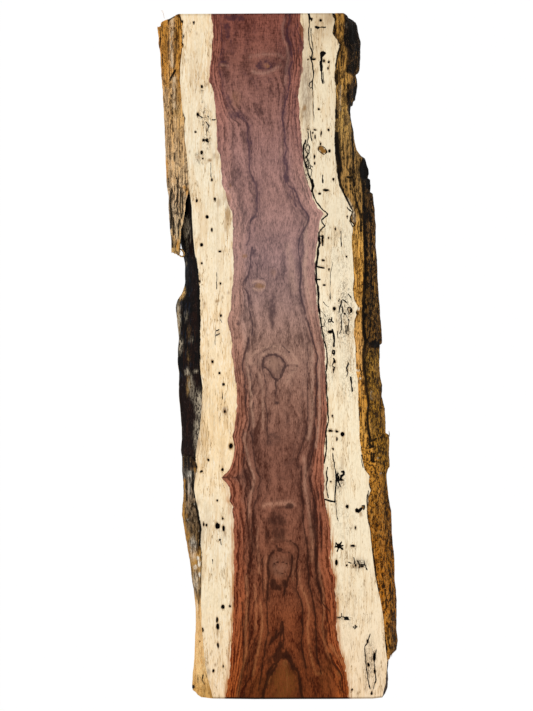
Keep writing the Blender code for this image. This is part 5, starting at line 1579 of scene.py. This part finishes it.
def paintBark(strip, piece, crust, relief):
    places = vertexPlaces(piece)
    seen = inPhoto(places)
    seen[:, 0] += 0.5 * layeredDrift(places, (4 * mm, 12 * mm, 8 * mm), strip["seed"] + 5, 3, 0.6)
    seen[:, 1] += 0.8 * layeredDrift(places, (6 * mm, 16 * mm, 8 * mm), strip["seed"] + 6, 3, 0.6)
    for name in ("dark", "gold", "pale"):
        marks = softLines(seen, strip[name + "Lines"]), softSpots(seen, strip[name + "Spots"])
        setAttribute(piece, name + "Part", np.maximum(*marks))
    setAttribute(piece, "crustPart", crust)
    setAttribute(piece, "relief", relief)


def makeBarkMaterial(strip):
    material, shader = newMaterial(strip["slot"].replace("_", " "), 0.85, 0.08)
    relief, creaseShadeGain = painted("relief"), strip["creaseShade"]
    streaks = grain(strip["fibre"], 4, 0.6, warp=0.5)
    fine = grain((2.4, 13, 3), 2, 0.6, warp=0.3, offset=(3, 1, 4))
    clumps = grain((7, 15, 9), 4, 0.65, offset=(7, 2, 1))
    pits = grain((3.4, 8, 4), 3, 0.6, warp=0.8, offset=(6, 5, 4))
    # Small pale specks painted on as highlights, the glints of the bark
    glints = grain((2.6, 6, 3), 2, 0.6, warp=0.6, offset=(1, 8, 5))
    # Painted light and shade: raised places of the relief lighter, low places darker
    light = plus(0.74, swing(streaks, 8.0), swing(fine, 5.0), swing(clumps, 6.0), times(relief, 0.5))
    # Painted shade: dark lines in the creases between the fibres
    creaseShade = times(remap(gap(streaks, 0.46), 0.036, 0.010, 0, 0.97), remap(clumps, 0.42, 0.56, 0, creaseShadeGain))
    crust = []
    if "crustFrom" in strip:
        # Where the outer bark is worn it is knobbly rather than streaked
        knobs = grain((6, 9, 7), 4, 0.6, warp=1.0, offset=(4, 2, 7))
        worn = remap(axesOf(work["place"])[1], -0.14, -0.28)
        knobbly = plus(0.60, swing(knobs, 7.0), swing(streaks, 2.5), swing(clumps, 4.0))
        light = put("Mix", {0: worn, 2: light, 3: knobbly}).outputs[0]
        creaseShade = without(creaseShade, times(worn, 0.6))
        # The relief is painted in here too: raised places lighter, low places darker
        crustLight = plus(0.3, swing(clumps, 8.0), swing(pits, 6.0), swing(fine, 3.0), times(relief, 0.3))
        crustTone = mix(limited(crustLight), strip["crustDark"], strip["crustLight"])
        crust = [(painted("crustPart"), crustTone)]
    blotchy = remap(plus(fine, swing(streaks, 0.8)), 0.42, 0.53, 0.2, 1.05)
    pale = times(painted("palePart"), blotchy)
    # Painted shade in the creases, in the low places of the relief and in pits
    shade = highest(creaseShade, remap(relief, -0.25, -0.55, 0, 0.9 * creaseShadeGain),
                    remap(pits, 0.57, 0.66, 0, 0.95 * creaseShadeGain))
    # The dark marks are sunk as cracks and gaps and painted near black: partly their own dark, partly painted
    # shade in them
    jagged = plus(painted("darkPart"), swing(fine, 1.2))
    colour = covered(
        mix(limited(light), strip["dark"], strip["light"]),
        (remap(plus(clumps, swing(streaks, 1.0)), 0.50, 0.66, 0, strip["warm"]), strip["gold"]),
        *crust,
        # painted highlights in small specks
        (times(remap(glints, 0.62, 0.72, 0, 0.75), remap(clumps, 0.42, 0.6, 0.1, 1)), strip["glint"]),
        (times(painted("goldPart"), blotchy), strip["gold"]),
        (pale, strip["pale"]),
        # painted shade in creases, hollows and pits, and in the dark cracks and gaps
        (highest(without(shade, times(pale, 0.7)), remap(jagged, 0.25, 0.75, 0, 0.97)), bark["deepest"]))
    finish(shader, colour, plus(streaks, times(clumps, 0.6)), 0.6, 1.2 * mm)
    return material


for strip in (rightBark, leftUpperBark, leftLowerBark):
    for marks in ("darkLines", "goldLines", "paleLines"):
        strip[marks] = linesOf(strip[marks], 2)
    low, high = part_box(strip["node"])
    piece = strip["piece"] = addBlank(strip["slot"] + "_strip", low, high)
    cutEvenly(piece, 1, 15, round((high[1] - low[1]) / bark["cellAlong"] / 16) - 1)
    cutEvenly(piece, 0, bark["cutsAcross"])
    cutEvenly(piece, 2, bark["cutsUp"])
    paintBark(strip, piece, *shapeBark(strip, piece))
    fibres = makeFibres(strip, strip["slot"] + "_fibres")
    plainPart = np.zeros(len(fibres.data.vertices))
    paintBark(strip, fibres, plainPart, plainPart + 0.3)
    material = makeBarkMaterial(strip)
    for part in (piece, fibres):
        part.data.materials.append(material)
    makeActive(piece)
    fibres.select_set(True)
    bpy.ops.object.join()
    smoothAndReport(piece, 50)
    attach(strip["piece"], "root")
    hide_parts(strip["node"])


# The floor, the light and the camera

studio = {
    "floorSize": 14,
    "floorDrop": 0.8 * mm,
    "lightSize": 2.2,
    "sky": 0.455,
    "lens": 34.25,
    "sensor": 36,
}


def makeFloor():
    bpy.ops.object.select_all(action="DESELECT")
    bpy.ops.mesh.primitive_plane_add(size=studio["floorSize"], location=(0, 0, -studio["floorDrop"]))
    floor = bpy.context.object
    floor.name = "floor"
    material, shader = newMaterial("pale floor", 0.9, 0.1)
    shader.inputs["Base Color"].default_value = (0, 0, 0, 1)
    shader.inputs["Emission Color"].default_value = (1, 1, 1, 1)  # a light table: no shadow shows
    shader.inputs["Emission Strength"].default_value = 1.0
    floor.data.materials.append(material)


def makeLight(name, place, power):
    bpy.ops.object.light_add(type="AREA", location=place)
    light = bpy.context.object
    light.name = name
    light.data.size = studio["lightSize"]
    light.data.energy = power
    light.rotation_euler = mathVector([-value for value in place]).to_track_quat("-Z", "Y").to_euler()


def makeCamera():
    across, along = onBoard(photo["under"])
    bpy.ops.object.camera_add(location=(across, along, thickness + photo["height"]), rotation=(0, 0, 0))
    camera = bpy.context.object
    camera.data.lens = studio["lens"]
    camera.data.sensor_width = studio["sensor"]
    bpy.context.scene.camera = camera


makeFloor()
makeLight("left", (-2.4, 0.8, 2.2), 65)
makeLight("right", (2.4, -0.6, 2.2), 38)
makeCamera()
world = bpy.data.worlds.new("studio")
world.use_nodes = True
world.node_tree.nodes["Background"].inputs["Color"].default_value = (1, 1, 1, 1)
world.node_tree.nodes["Background"].inputs["Strength"].default_value = studio["sky"]
bpy.context.scene.world = world
bpy.context.scene.view_settings.view_transform = "Standard"

low, high = cadBounds
